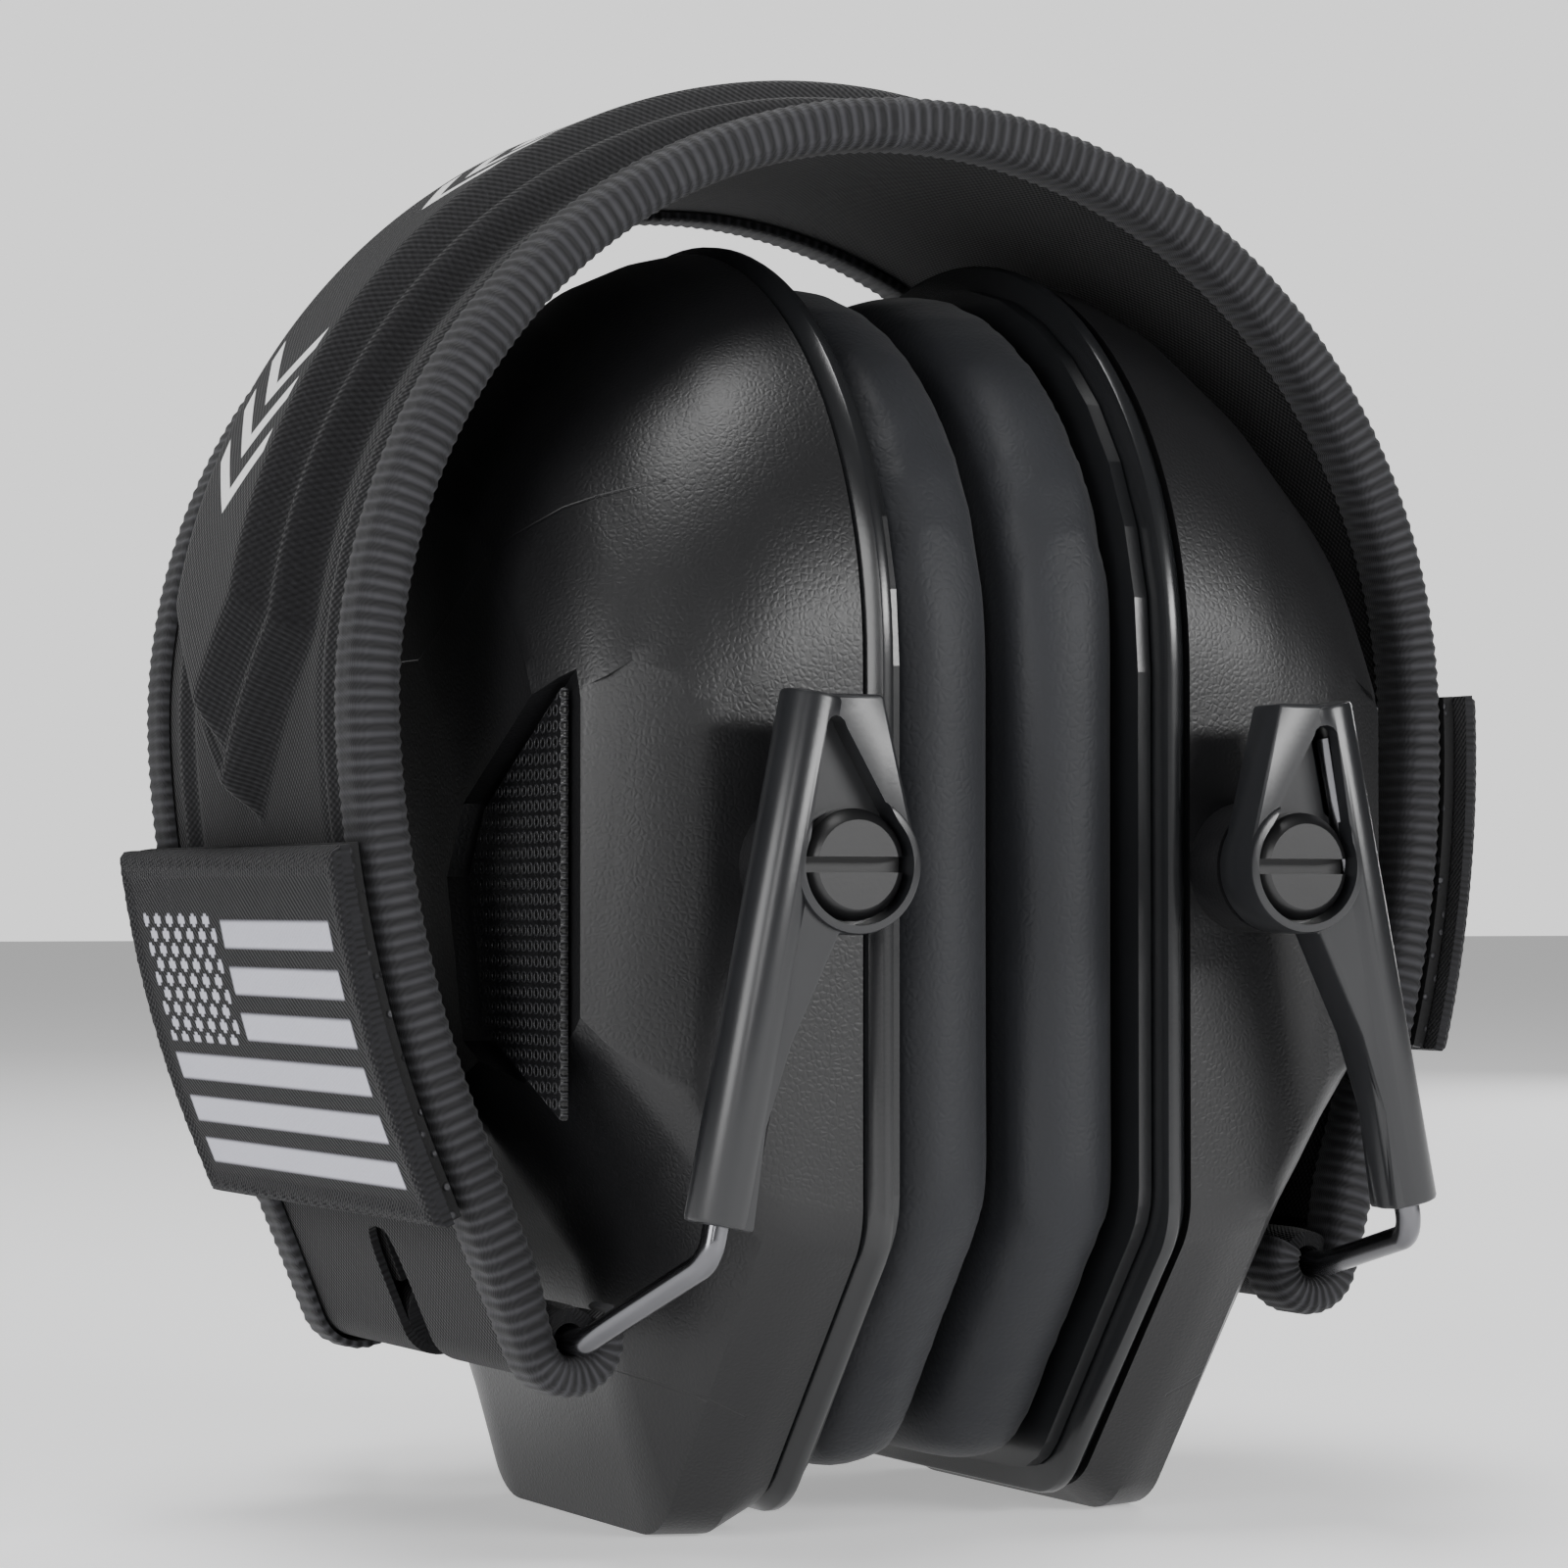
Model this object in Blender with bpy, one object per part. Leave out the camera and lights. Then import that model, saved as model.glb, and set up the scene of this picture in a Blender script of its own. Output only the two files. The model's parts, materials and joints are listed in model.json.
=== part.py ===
"""Folding ear defenders: a padded fabric headband with both cups folded up inside it.

X runs from the left cup to the right cup, Y from front to rear and Z is up.
The folded part stands on the flats under its two cups, at Z = 0.
"""
import math

import bmesh
import bpy
from mathutils import Matrix, Vector

MM = 0.001

# The leaning headband reaches further left than right, so the part is moved over to stand centred.
STANDING_X = 2.557 * MM

# Cups: heights are measured from the middle of the rim.
CUP_MIDDLE = 56.5 * MM
RIM_INNER_FACE = 12.7 * MM
RIM_OUTER_FACE = 15.0 * MM
RIM_HALF_WIDTH = 38.1 * MM
RIM_TOP = 53.6 * MM
RIM_SHOULDER = -31.0 * MM
RIM_FOOT_HALF = 19.0 * MM
RIM_FOOT = -54.8 * MM
RIM_LAND = 8.0 * MM
OUTLINE_ROUNDING = 7.0 * MM
OUTLINE_ARC_STEPS = 18
CORNER_STEPS = 3
SHELL_FOOT = -56.5 * MM
# Distance from the middle plane, then half width, top, shoulder, foot half width and foot.
SHELL_LEVELS = (
    (15.3 * MM, 37.4 * MM, 52.9 * MM, -30.5 * MM, 18.6 * MM, -54.3 * MM),
    (19.0 * MM, 37.2 * MM, 52.0 * MM, -30.0 * MM, 18.0 * MM, SHELL_FOOT),
    (23.5 * MM, 37.0 * MM, 50.0 * MM, -29.0 * MM, 16.5 * MM, SHELL_FOOT),
    (30.0 * MM, 36.2 * MM, 45.0 * MM, -21.0 * MM, 15.5 * MM, -33.5 * MM),
    (36.0 * MM, 33.4 * MM, 37.5 * MM, -11.0 * MM, 13.0 * MM, -20.0 * MM),
    (40.0 * MM, 28.0 * MM, 30.0 * MM, -7.0 * MM, 11.0 * MM, -14.5 * MM),
)
CAVITY_LEVELS = (10.0 * MM, 22.0 * MM, 29.0 * MM, 35.5 * MM)
CAVITY_STRAIGHT = 22.0 * MM
CAVITY_HALF_WIDTH = 34.8 * MM
CAVITY_TOP = 47.6 * MM
CAVITY_SHOULDER = -25.0 * MM
CAVITY_FOOT_HALF = 13.5 * MM
CAVITY_FOOT = -46.0 * MM
CAVITY_ROUNDING = 5.0 * MM
# How fast half width, top, shoulder, foot half width and foot draw in beyond the straight part.
CAVITY_TAPER = (-0.45, -1.25, 1.2, -0.3, 1.9)
CHAMFER_TOP = 17.5 * MM
CHAMFER_BOTTOM = -24.0 * MM
CHAMFER_NEAR = 29.0 * MM
CHAMFER_FAR = 43.0 * MM
CHAMFER_NEAR_Y = 36.6 * MM
CHAMFER_FAR_Y = 20.5 * MM
CHAMFER_OPEN_Y = 40.0 * MM
RECESS_FLOOR = 37.6 * MM
RECESS_OPEN = 45.0 * MM
RECESS_CORNERS = (
    (-40.0 * MM, -22.0 * MM),
    (-40.0 * MM, 15.0 * MM),
    (-6.5 * MM, 1.0 * MM),
    (-6.5 * MM, -8.0 * MM),
)
GRILLE_THICKNESS = 0.8 * MM
GRILLE_CORNERS = (
    (-27.0 * MM, -16.0 * MM),
    (-27.0 * MM, 9.0 * MM),
    (-8.0 * MM, 0.5 * MM),
    (-8.0 * MM, -7.5 * MM),
)

# Ear cushions.
CUSHION_FACE = 0.35 * MM
CUSHION_BACK = 10.9 * MM
# Distance from the middle plane, outer edge's inset within the rim, and opening's inset.
CUSHION_PROFILE = (
    (CUSHION_BACK, 3.0 * MM, -1.0 * MM),
    (CUSHION_BACK - 3.0 * MM, 2.0 * MM, 0.4 * MM),
    (CUSHION_FACE + 3.4 * MM, 2.2 * MM, 0.4 * MM),
    (CUSHION_FACE + 1.0 * MM, 4.0 * MM, -1.6 * MM),
    (CUSHION_FACE, 7.4 * MM, -4.6 * MM),
)
EAR_OPENING_HALF = 19.0 * MM
EAR_OPENING_TOP = 30.0 * MM
EAR_OPENING_SHOULDER = -20.0 * MM
EAR_OPENING_FOOT_HALF = 9.0 * MM
EAR_OPENING_FOOT = -33.0 * MM
CUSHION_RING_INNER = 11.2 * MM
CUSHION_RING_OUTER = 12.4 * MM
CUSHION_RING_INSET = 2.2 * MM
CUSHION_RING_CLEARANCE = 1.0 * MM
HOLE_CUT = (5.0 * MM, 20.0 * MM)
FOAM_INNER = 28.0 * MM
FOAM_OUTER = 35.1 * MM
FOAM_FIT = 0.95
GAP = 0.3 * MM

# Cup pivots, and the sleeves that slide on the wire legs.
PIVOT_X = 20.6 * MM
PIVOT_Z = -0.7 * MM
BOSS_RADIUS = 5.4 * MM
BOSS_FACE = 41.7 * MM
BOSS_ROOT = 34.8 * MM
PIN_BORE_RADIUS = 2.7 * MM
PIN_SHAFT_RADIUS = 2.35 * MM
PIN_HEAD_RADIUS = 4.4 * MM
PIN_HEAD_FACE = 46.9 * MM
PIN_HEAD_BACK = 45.0 * MM
PIN_END = 34.0 * MM
PIN_SLOT_WIDTH = 1.0 * MM
PIN_SLOT_DEPTH = 0.9 * MM
SLEEVE_RING_RADIUS = 5.5 * MM
SLEEVE_COUNTERBORE_RADIUS = 4.75 * MM
SLEEVE_COUNTERBORE_FLOOR = 44.6 * MM
SLEEVE_FRONT = 47.2 * MM
SLEEVE_WEB_FRONT = 46.7 * MM
SLEEVE_BACK = 42.1 * MM
SLEEVE_TUBE_RADIUS = 2.6 * MM
SLEEVE_TOP = 12.6 * MM
SLEEVE_LENGTH = 42.0 * MM
SLEEVE_TOP_SHOULDER = 2.4 * MM
# Edge of the web below the pivot ring: distance inwards from the tube's foot, and height.
SLEEVE_TAPER = ((5.6 * MM, -14.0 * MM), (3.4 * MM, -21.0 * MM))
SLEEVE_FOOT_WIDTH = 2.3 * MM
SLEEVE_FOOT_RISE = 0.5 * MM
PAST = 1.0 * MM

# Wire forks.
WIRE_RADIUS = 1.05 * MM
WIRE_BORE_RADIUS = 1.4 * MM
LEG_TILT = math.radians(11.5)
LEG_Y = 44.6 * MM
BEND_X = 32.3 * MM
BEND_Z = -31.2 * MM
LEG_LENGTH = 42.0 * MM
BEND_ROUNDING = 2.6 * MM
BORE_TOP_MARGIN = 0.8 * MM

# Headband: two tangent arcs and a straight end on each side, seen from the front.
BAND_HALF_WIDTH = 26.2 * MM
BAND_LEAN = math.radians(3.2)
BAND_LEAN_PIVOT_Z = -38.7 * MM
CROWN_RADIUS = 51.5 * MM
CROWN_CENTRE_Z = 12.5 * MM
SIDE_RADIUS = 100.0 * MM
SIDE_ANGLE = math.radians(19.5)
STRAIGHT_LENGTH = 18.6 * MM
LOOP_RADIUS = 4.6 * MM
LOOP_BORE_RADIUS = 1.9 * MM
LOOP_HALF_WIDTH = 25.8 * MM
CROWN_HALF_ANGLE = math.radians(14.0)
HALF_GAP_ANGLE = math.radians(0.4)
ARC_STEP = math.radians(5.0)
FLEX_AXIS_HEIGHT = 2.8 * MM
SLOT_HALF_WIDTH = 3.0 * MM
SLOT_LENGTH = 13.0 * MM
NOTCH_DEPTH = 0.6 * MM
NOTCH_REACH = 8.0 * MM

# Band layers, as depths below the outer face of the edge binding.
BINDING_DEPTH = 4.2 * MM
BINDING_WALL = 0.7 * MM
BINDING_FLANGE = 6.0 * MM
LINER_DEPTHS = (2.5 * MM, 3.2 * MM)
SPRING_DEPTHS = (1.9 * MM, 2.2 * MM)
COVER_DEPTHS = (1.0 * MM, 1.6 * MM)
EDGE_GAP = 1.0 * MM
SPRING_HALF_WIDTH = 9.0 * MM
POD_HEIGHT = 3.2 * MM
POD_HALF_WIDTH = 13.5 * MM
POD_SLOPE = 3.0 * MM
POD_TIP_ANGLE = math.radians(94.0)
POD_SHOULDER_ANGLE = math.radians(80.0)

# Hook-and-loop patches on the band ends.
PATCH_LENGTH = 31.0 * MM
PATCH_HALF_WIDTH = 26.8 * MM
PATCH_LIFT = 0.35 * MM
PATCH_BACKING = 1.0 * MM
PATCH_THICKNESS = 1.3 * MM
PATCH_OVERHANG = 1.5 * MM
PATCH_START_ANGLE = math.radians(3.0)

SIDES = {"left": -1, "right": 1}
ENDS = {"front": -1, "rear": 1}

FINISHES = {
    "shell_plastic": ((0.020, 0.020, 0.022), 0.50, 0.0),
    "rim_plastic": ((0.032, 0.033, 0.036), 0.30, 0.0),
    "sleeve_plastic": ((0.038, 0.039, 0.043), 0.36, 0.0),
    "pin_plastic": ((0.015, 0.015, 0.016), 0.45, 0.0),
    "cushion_skin": ((0.026, 0.028, 0.033), 0.55, 0.0),
    "foam": ((0.060, 0.060, 0.062), 0.95, 0.0),
    "wire_steel": ((0.16, 0.16, 0.17), 0.20, 1.0),
    "spring_steel": ((0.45, 0.45, 0.46), 0.35, 1.0),
    "band_fabric": ((0.022, 0.022, 0.024), 0.90, 0.0),
    "liner_fabric": ((0.010, 0.010, 0.011), 0.85, 0.0),
    "binding_tape": ((0.045, 0.045, 0.048), 0.75, 0.0),
    "patch_cloth": ((0.050, 0.050, 0.055), 0.80, 0.0),
    "hook_tape": ((0.012, 0.012, 0.013), 0.90, 0.0),
}


def clear_scene():
    """Remove what the file already holds."""
    for old in list(bpy.data.objects):
        bpy.data.objects.remove(old, do_unlink=True)


def make_collection(name):
    """Return a new collection linked to the scene."""
    collection = bpy.data.collections.new(name)
    bpy.context.scene.collection.children.link(collection)
    return collection


def make_material(name, colour, roughness, metallic):
    """Return a Principled material with one colour."""
    material = bpy.data.materials.new(name)
    material.use_nodes = True
    shader = material.node_tree.nodes["Principled BSDF"]
    shader.inputs["Base Color"].default_value = (*colour, 1.0)
    shader.inputs["Roughness"].default_value = roughness
    shader.inputs["Metallic"].default_value = metallic
    material.diffuse_color = (*colour, 1.0)
    return material


class Workshop:
    """Holds the collections, the finishes and the empties that stand on the joint axes."""

    def __init__(self):
        self.parts = make_collection("earmuff")
        self.cutters = make_collection("cutters")
        self.finishes = {name: make_material(name, *values) for name, values in FINISHES.items()}
        self.frames = {}
        root = self.frame("standing_frame", Vector((STANDING_X, 0.0, 0.0)))
        crown = self.frame("crown_frame", Vector(), root)
        foot = Vector((0.0, 0.0, CUP_MIDDLE + BAND_LEAN_PIVOT_Z))
        turn = Matrix.Rotation(-BAND_LEAN, 4, "Y")
        crown.matrix_local = Matrix.Translation(foot) @ turn @ Matrix.Translation(-foot)
        for prefix, side in SIDES.items():
            flex = flex_point()
            self.frame(prefix + "_flex_axis", Vector((side * flex.x, 0.0, CUP_MIDDLE + flex.y)), crown)
            hinge = leaned(side, hinge_point())
            self.frame(prefix + "_fold_axis", Vector((hinge.x, 0.0, CUP_MIDDLE + hinge.y)), root)
            pivot = Vector((side * PIVOT_X, 0.0, CUP_MIDDLE + PIVOT_Z))
            self.frame(prefix + "_pivot_axis", pivot, root)

    def frame(self, name, point, parent=None):
        """Add an empty at a point."""
        empty = bpy.data.objects.new(name, None)
        self.parts.objects.link(empty)
        empty.parent = parent
        empty.location = point
        self.frames[name] = empty
        return empty

    def hang(self, obj, name):
        """Parent an object to an empty, and leave its surface where it is."""
        empty = self.frames[name]
        obj.parent = empty
        if name != "crown_frame":
            obj.matrix_parent_inverse = Matrix.Translation(-empty.location)

    def part(self, name, bm, finish, smooth_angle=40.0):
        """Turn a bmesh into a named part with its finish."""
        obj = self.mesh_object(name, bm, self.parts)
        obj.data.materials.append(self.finishes[finish])
        obj.data.shade_smooth()
        obj.data.set_sharp_from_angle(angle=math.radians(smooth_angle))
        return obj

    def cutter(self, name, bm):
        """Turn a bmesh into a hidden cutter."""
        obj = self.mesh_object(name, bm, self.cutters)
        obj.hide_render = True
        obj.display_type = "WIRE"
        return obj

    def mesh_object(self, name, bm, collection):
        """Link a bmesh to a collection as a new object."""
        mesh = bpy.data.meshes.new(name)
        bm.to_mesh(mesh)
        bm.free()
        obj = bpy.data.objects.new(name, mesh)
        collection.objects.link(obj)
        return obj


def combine(obj, other, operation):
    """Add a Boolean modifier that uses the exact solver."""
    modifier = obj.modifiers.new(operation.lower() + "_" + other.name, "BOOLEAN")
    modifier.operation = operation
    modifier.solver = "EXACT"
    modifier.object = other


# ---------------------------------------------------------------- outlines


def rounded(corners, radius, steps):
    """Replace the corners of a closed outline by arcs of one radius."""
    points = []
    count = len(corners)
    for index, corner in enumerate(corners):
        here = Vector(corner)
        before = (Vector(corners[index - 1]) - here).normalized()
        after = (Vector(corners[(index + 1) % count]) - here).normalized()
        half = before.angle(after) / 2.0
        middle = here + (before + after).normalized() * radius / math.sin(half)
        start = here + before * radius / math.tan(half)
        end = here + after * radius / math.tan(half)
        for step in range(steps + 1):
            share = step / steps
            guess = start.lerp(end, share) - middle
            points.append(middle + guess.normalized() * radius)
    return points


def cup_outline(half_width, top, shoulder, foot_half, foot, rounding=OUTLINE_ROUNDING):
    """Cup outline as (y, z): a half-round top, straight sides and a tapered foot."""
    centre = top - half_width
    corners = [
        Vector((half_width, centre)),
        Vector((-half_width, centre)),
        Vector((-half_width, shoulder)),
        Vector((-foot_half, foot)),
        Vector((foot_half, foot)),
        Vector((half_width, shoulder)),
    ]
    arc = []
    for step in range(OUTLINE_ARC_STEPS + 1):
        angle = math.pi * step / OUTLINE_ARC_STEPS
        arc.append(Vector((half_width * math.cos(angle), centre + half_width * math.sin(angle))))
    sample = rounded(corners, rounding, CORNER_STEPS)
    per_corner = CORNER_STEPS + 1
    return arc + sample[2 * per_corner:]


def rim_outline(inset):
    """The rim's outline drawn in by an inset."""
    return cup_outline(
        RIM_HALF_WIDTH - inset,
        RIM_TOP - inset,
        RIM_SHOULDER + inset * 0.6,
        RIM_FOOT_HALF - inset * 0.4,
        RIM_FOOT + inset,
    )


def ear_opening(inset):
    """The outline of the opening for the ear, drawn in by an inset."""
    return cup_outline(
        EAR_OPENING_HALF - inset,
        EAR_OPENING_TOP - inset,
        EAR_OPENING_SHOULDER + inset * 0.5,
        EAR_OPENING_FOOT_HALF - inset * 0.5,
        EAR_OPENING_FOOT + inset,
    )


def across(outline, side, x):
    """Place an outline of (y, z) points at a distance x on one side."""
    return [Vector((side * x, point[0], CUP_MIDDLE + point[1])) for point in outline]


def along(outline, y):
    """Place an outline of (x, z) points at a depth y."""
    return [Vector((point[0], y, CUP_MIDDLE + point[1])) for point in outline]


def loft(rings, closed=False):
    """Bridge rings of equal counts of points, and cap both ends unless the loft is closed."""
    bm = bmesh.new()
    loops = []
    for ring in rings:
        verts = [bm.verts.new(point) for point in ring]
        edges = [bm.edges.new((vert, verts[(index + 1) % len(verts)])) for index, vert in enumerate(verts)]
        loops.append((verts, edges))
    pairs = list(zip(loops, loops[1:]))
    if closed:
        pairs.append((loops[-1], loops[0]))
    for near, far in pairs:
        bmesh.ops.bridge_loops(bm, edges=near[1] + far[1])
    if not closed:
        for verts, _edges in (loops[0], loops[-1]):
            bm.faces.new(verts)
    bmesh.ops.recalc_face_normals(bm, faces=bm.faces)
    return bm


def rod(start, end, radius, sides=24):
    """A cylinder between two points."""
    axis = Vector(end) - Vector(start)
    middle = (Vector(start) + Vector(end)) / 2.0
    turn = axis.to_track_quat("Z", "Y").to_matrix().to_4x4()
    bm = bmesh.new()
    bmesh.ops.create_cone(
        bm,
        cap_ends=True,
        segments=sides,
        radius1=radius,
        radius2=radius,
        depth=axis.length,
        matrix=Matrix.Translation(middle) @ turn,
    )
    return bm


def block(low, high):
    """A box between two corners."""
    size = Vector(high) - Vector(low)
    middle = (Vector(low) + Vector(high)) / 2.0
    bm = bmesh.new()
    bmesh.ops.create_cube(bm, size=1.0, matrix=Matrix.Translation(middle) @ Matrix.Diagonal((*size, 1.0)))
    return bm


# ---------------------------------------------------------------- headband path


def band_point(turn, depth=0.0):
    """Point (x, z) of the right half at a turn from the top, a depth below the outer face.

    The crown arc runs to a quarter turn, the side arc goes on from there, and a turn past the
    end of the side arc gives a distance along the straight end instead.
    """
    quarter = math.pi / 2.0
    if turn <= quarter:
        radius = CROWN_RADIUS - depth
        return Vector((radius * math.sin(turn), CROWN_CENTRE_Z + radius * math.cos(turn)))
    angle = turn - quarter
    radius = SIDE_RADIUS - depth
    centre_x = CROWN_RADIUS - SIDE_RADIUS
    return Vector((centre_x + radius * math.cos(angle), CROWN_CENTRE_Z - radius * math.sin(angle)))


def band_end_direction():
    """Direction (x, z) in which the right band end points."""
    return Vector((-math.sin(SIDE_ANGLE), -math.cos(SIDE_ANGLE)))


def band_path(first, last, depth, tail=0.0):
    """Points (x, z) of the right half between two turns, with a straight tail of a given length."""
    quarter = math.pi / 2.0
    turns = [first]
    steps = max(1, round((min(last, quarter) - first) / ARC_STEP))
    if first < quarter:
        turns += [first + (min(last, quarter) - first) * (step + 1) / steps for step in range(steps)]
    if last > quarter:
        start = max(first, quarter)
        steps = max(1, round((last - start) / (ARC_STEP * 0.8)))
        turns += [start + (last - start) * (step + 1) / steps for step in range(steps)]
    points = [band_point(turn, depth) for turn in turns]
    if tail > 0.0:
        points.append(points[-1] + band_end_direction() * tail)
    return points


SIDE_END = math.pi / 2.0 + SIDE_ANGLE


def hinge_point():
    """Axis (x, z) of the right end loop, before the headband leans."""
    end = band_point(SIDE_END, LOOP_RADIUS)
    return end + band_end_direction() * STRAIGHT_LENGTH


def flex_point():
    """Axis (x, z) on which a half of the band bends outwards, before the headband leans."""
    return band_point(CROWN_HALF_ANGLE, -FLEX_AXIS_HEIGHT)


def leaned(side, point):
    """Apply the headband's lean to a point (x, z) of the right half taken to one side."""
    x = side * point[0]
    z = point[1] - BAND_LEAN_PIVOT_Z
    cosine = math.cos(BAND_LEAN)
    sine = math.sin(BAND_LEAN)
    return Vector((x * cosine - z * sine, x * sine + z * cosine + BAND_LEAN_PIVOT_Z))


def ribbon(side, path_outer, path_inner, low_y, high_y):
    """A strip of the band between two paths of equal counts, from one y to another."""
    section = [Vector((side * p[0], p[1])) for p in path_outer]
    section += [Vector((side * p[0], p[1])) for p in reversed(path_inner)]
    return loft([along(section, low_y), along(section, high_y)])


# ---------------------------------------------------------------- cups


def make_shell(shop, name, side):
    """Hollow moulded cup with two pivot bosses, chamfered flanks and a recess for each grille."""
    rings = [across(cup_outline(*sizes), side, x) for x, *sizes in SHELL_LEVELS]
    shell = shop.part(name, loft(rings), "shell_plastic", 25.0)
    for end_name, end in ENDS.items():
        boss_low = (side * PIVOT_X, end * BOSS_ROOT, CUP_MIDDLE + PIVOT_Z)
        boss_high = (side * PIVOT_X, end * BOSS_FACE, CUP_MIDDLE + PIVOT_Z)
        boss = shop.cutter(name + "_boss_" + end_name, rod(boss_low, boss_high, BOSS_RADIUS))
        combine(shell, boss, "UNION")
    rings = [across(cavity_outline(x), side, x) for x in CAVITY_LEVELS]
    combine(shell, shop.cutter(name + "_cavity", loft(rings)), "DIFFERENCE")
    for end_name, end in ENDS.items():
        chamfer = shop.cutter(name + "_chamfer_" + end_name, chamfer_wedge(side, end))
        combine(shell, chamfer, "DIFFERENCE")
        recess = [(-end * y, z) for y, z in RECESS_CORNERS]
        rings = [across(recess, side, x) for x in (RECESS_FLOOR, RECESS_OPEN)]
        combine(shell, shop.cutter(name + "_recess_" + end_name, loft(rings)), "DIFFERENCE")
        bore_low = (side * PIVOT_X, end * (PIN_END - 2.0 * MM), CUP_MIDDLE + PIVOT_Z)
        bore_high = (side * PIVOT_X, end * (BOSS_FACE + 1.0 * MM), CUP_MIDDLE + PIVOT_Z)
        bore = shop.cutter(name + "_bore_" + end_name, rod(bore_low, bore_high, PIN_BORE_RADIUS))
        combine(shell, bore, "DIFFERENCE")
    return shell


def cavity_outline(x):
    """Inside of the cup at a distance from the middle plane, a wall's thickness within the shell."""
    depth = max(0.0, x - CAVITY_STRAIGHT)
    straight = (CAVITY_HALF_WIDTH, CAVITY_TOP, CAVITY_SHOULDER, CAVITY_FOOT_HALF, CAVITY_FOOT)
    sizes = [size + depth * taper for size, taper in zip(straight, CAVITY_TAPER)]
    return cup_outline(*sizes, CAVITY_ROUNDING)


def chamfer_wedge(side, end):
    """Wedge that slants the shell's flank beside a grille."""
    section = (
        (CHAMFER_NEAR, CHAMFER_NEAR_Y),
        (CHAMFER_NEAR, CHAMFER_OPEN_Y),
        (CHAMFER_FAR, CHAMFER_OPEN_Y),
        (CHAMFER_FAR, CHAMFER_FAR_Y),
    )
    rings = []
    for z in (CHAMFER_BOTTOM, CHAMFER_TOP):
        rings.append([Vector((side * x, end * y, CUP_MIDDLE + z)) for x, y in section])
    return loft(rings)


def make_rim(shop, name, side):
    """Flat rim plate that closes the shell, open in the middle."""
    outer = [across(rim_outline(0.0), side, x) for x in (RIM_INNER_FACE, RIM_OUTER_FACE)]
    rim = shop.part(name, loft(outer), "rim_plastic", 30.0)
    hole = [across(rim_outline(RIM_LAND), side, x) for x in HOLE_CUT]
    combine(rim, shop.cutter(name + "_hole", loft(hole)), "DIFFERENCE")
    return rim


def make_cushion_ring(shop, name, side):
    """Thin snap-in plate that carries the cushion."""
    faces = (CUSHION_RING_INNER, CUSHION_RING_OUTER)
    outer = [across(rim_outline(CUSHION_RING_INSET), side, x) for x in faces]
    ring = shop.part(name, loft(outer), "rim_plastic", 30.0)
    hole = [across(ear_opening(-CUSHION_RING_CLEARANCE), side, x) for x in HOLE_CUT]
    combine(ring, shop.cutter(name + "_hole", loft(hole)), "DIFFERENCE")
    return ring


def make_cushion(shop, name, side):
    """Foam-filled ear cushion: a soft ring around the ear."""
    outer = [across(rim_outline(inset), side, x) for x, inset, _hole in CUSHION_PROFILE]
    cushion = shop.part(name, loft(outer), "cushion_skin", 60.0)
    levels = [(x, hole) for x, _inset, hole in CUSHION_PROFILE]
    first, last = levels[0], levels[-1]
    outward = math.copysign(PAST, first[0] - last[0])
    levels = [(first[0] + outward, first[1]), *levels, (last[0] - outward, last[1])]
    hole = [across(ear_opening(size), side, x) for x, size in levels]
    combine(cushion, shop.cutter(name + "_hole", loft(hole)), "DIFFERENCE")
    return cushion


def make_foam(shop, name, side):
    """Acoustic foam pad on the floor of the cup."""
    rings = []
    for x in (FOAM_INNER, FOAM_OUTER):
        shrink = Matrix.Diagonal((FOAM_FIT, FOAM_FIT))
        rings.append(across([shrink @ point for point in cavity_outline(x)], side, x))
    return shop.part(name, loft(rings), "foam", 30.0)


def make_grille(shop, name, side, end):
    """Plate behind which the shell's recess ends."""
    corners = [(-end * y, z) for y, z in GRILLE_CORNERS]
    floor = RECESS_FLOOR + GAP
    rings = [across(corners, side, x) for x in (floor, floor + GRILLE_THICKNESS)]
    return shop.part(name, loft(rings), "shell_plastic", 30.0)


def make_pin(shop, name, side, end):
    """Slotted pivot pin of the cup."""
    height = CUP_MIDDLE + PIVOT_Z
    x = side * PIVOT_X
    head = rod((x, end * PIN_HEAD_BACK, height), (x, end * PIN_HEAD_FACE, height), PIN_HEAD_RADIUS)
    pin = shop.part(name, head, "pin_plastic", 30.0)
    shaft_top = (x, end * (PIN_HEAD_BACK + PAST), height)
    shaft = rod((x, end * PIN_END, height), shaft_top, PIN_SHAFT_RADIUS, 16)
    combine(pin, shop.cutter(name + "_shaft", shaft), "UNION")
    slot_floor = end * (PIN_HEAD_FACE - PIN_SLOT_DEPTH)
    slot_open = end * (PIN_HEAD_FACE + 1.0 * MM)
    slot = block(
        (x - 6.0 * MM, min(slot_floor, slot_open), height - PIN_SLOT_WIDTH / 2.0),
        (x + 6.0 * MM, max(slot_floor, slot_open), height + PIN_SLOT_WIDTH / 2.0),
    )
    combine(pin, shop.cutter(name + "_slot", slot), "DIFFERENCE")
    return pin


# ---------------------------------------------------------------- sleeves and forks


def leg_point(side, end, distance):
    """Point on a wire leg at a distance up from its bend."""
    x = BEND_X - math.sin(LEG_TILT) * distance
    z = BEND_Z + math.cos(LEG_TILT) * distance
    return Vector((side * x, end * LEG_Y, CUP_MIDDLE + z))


def sleeve_reach():
    """Distances up the leg of the sleeve's bottom and top."""
    top = (SLEEVE_TOP - BEND_Z) / math.cos(LEG_TILT)
    return top - SLEEVE_LENGTH, top


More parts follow.
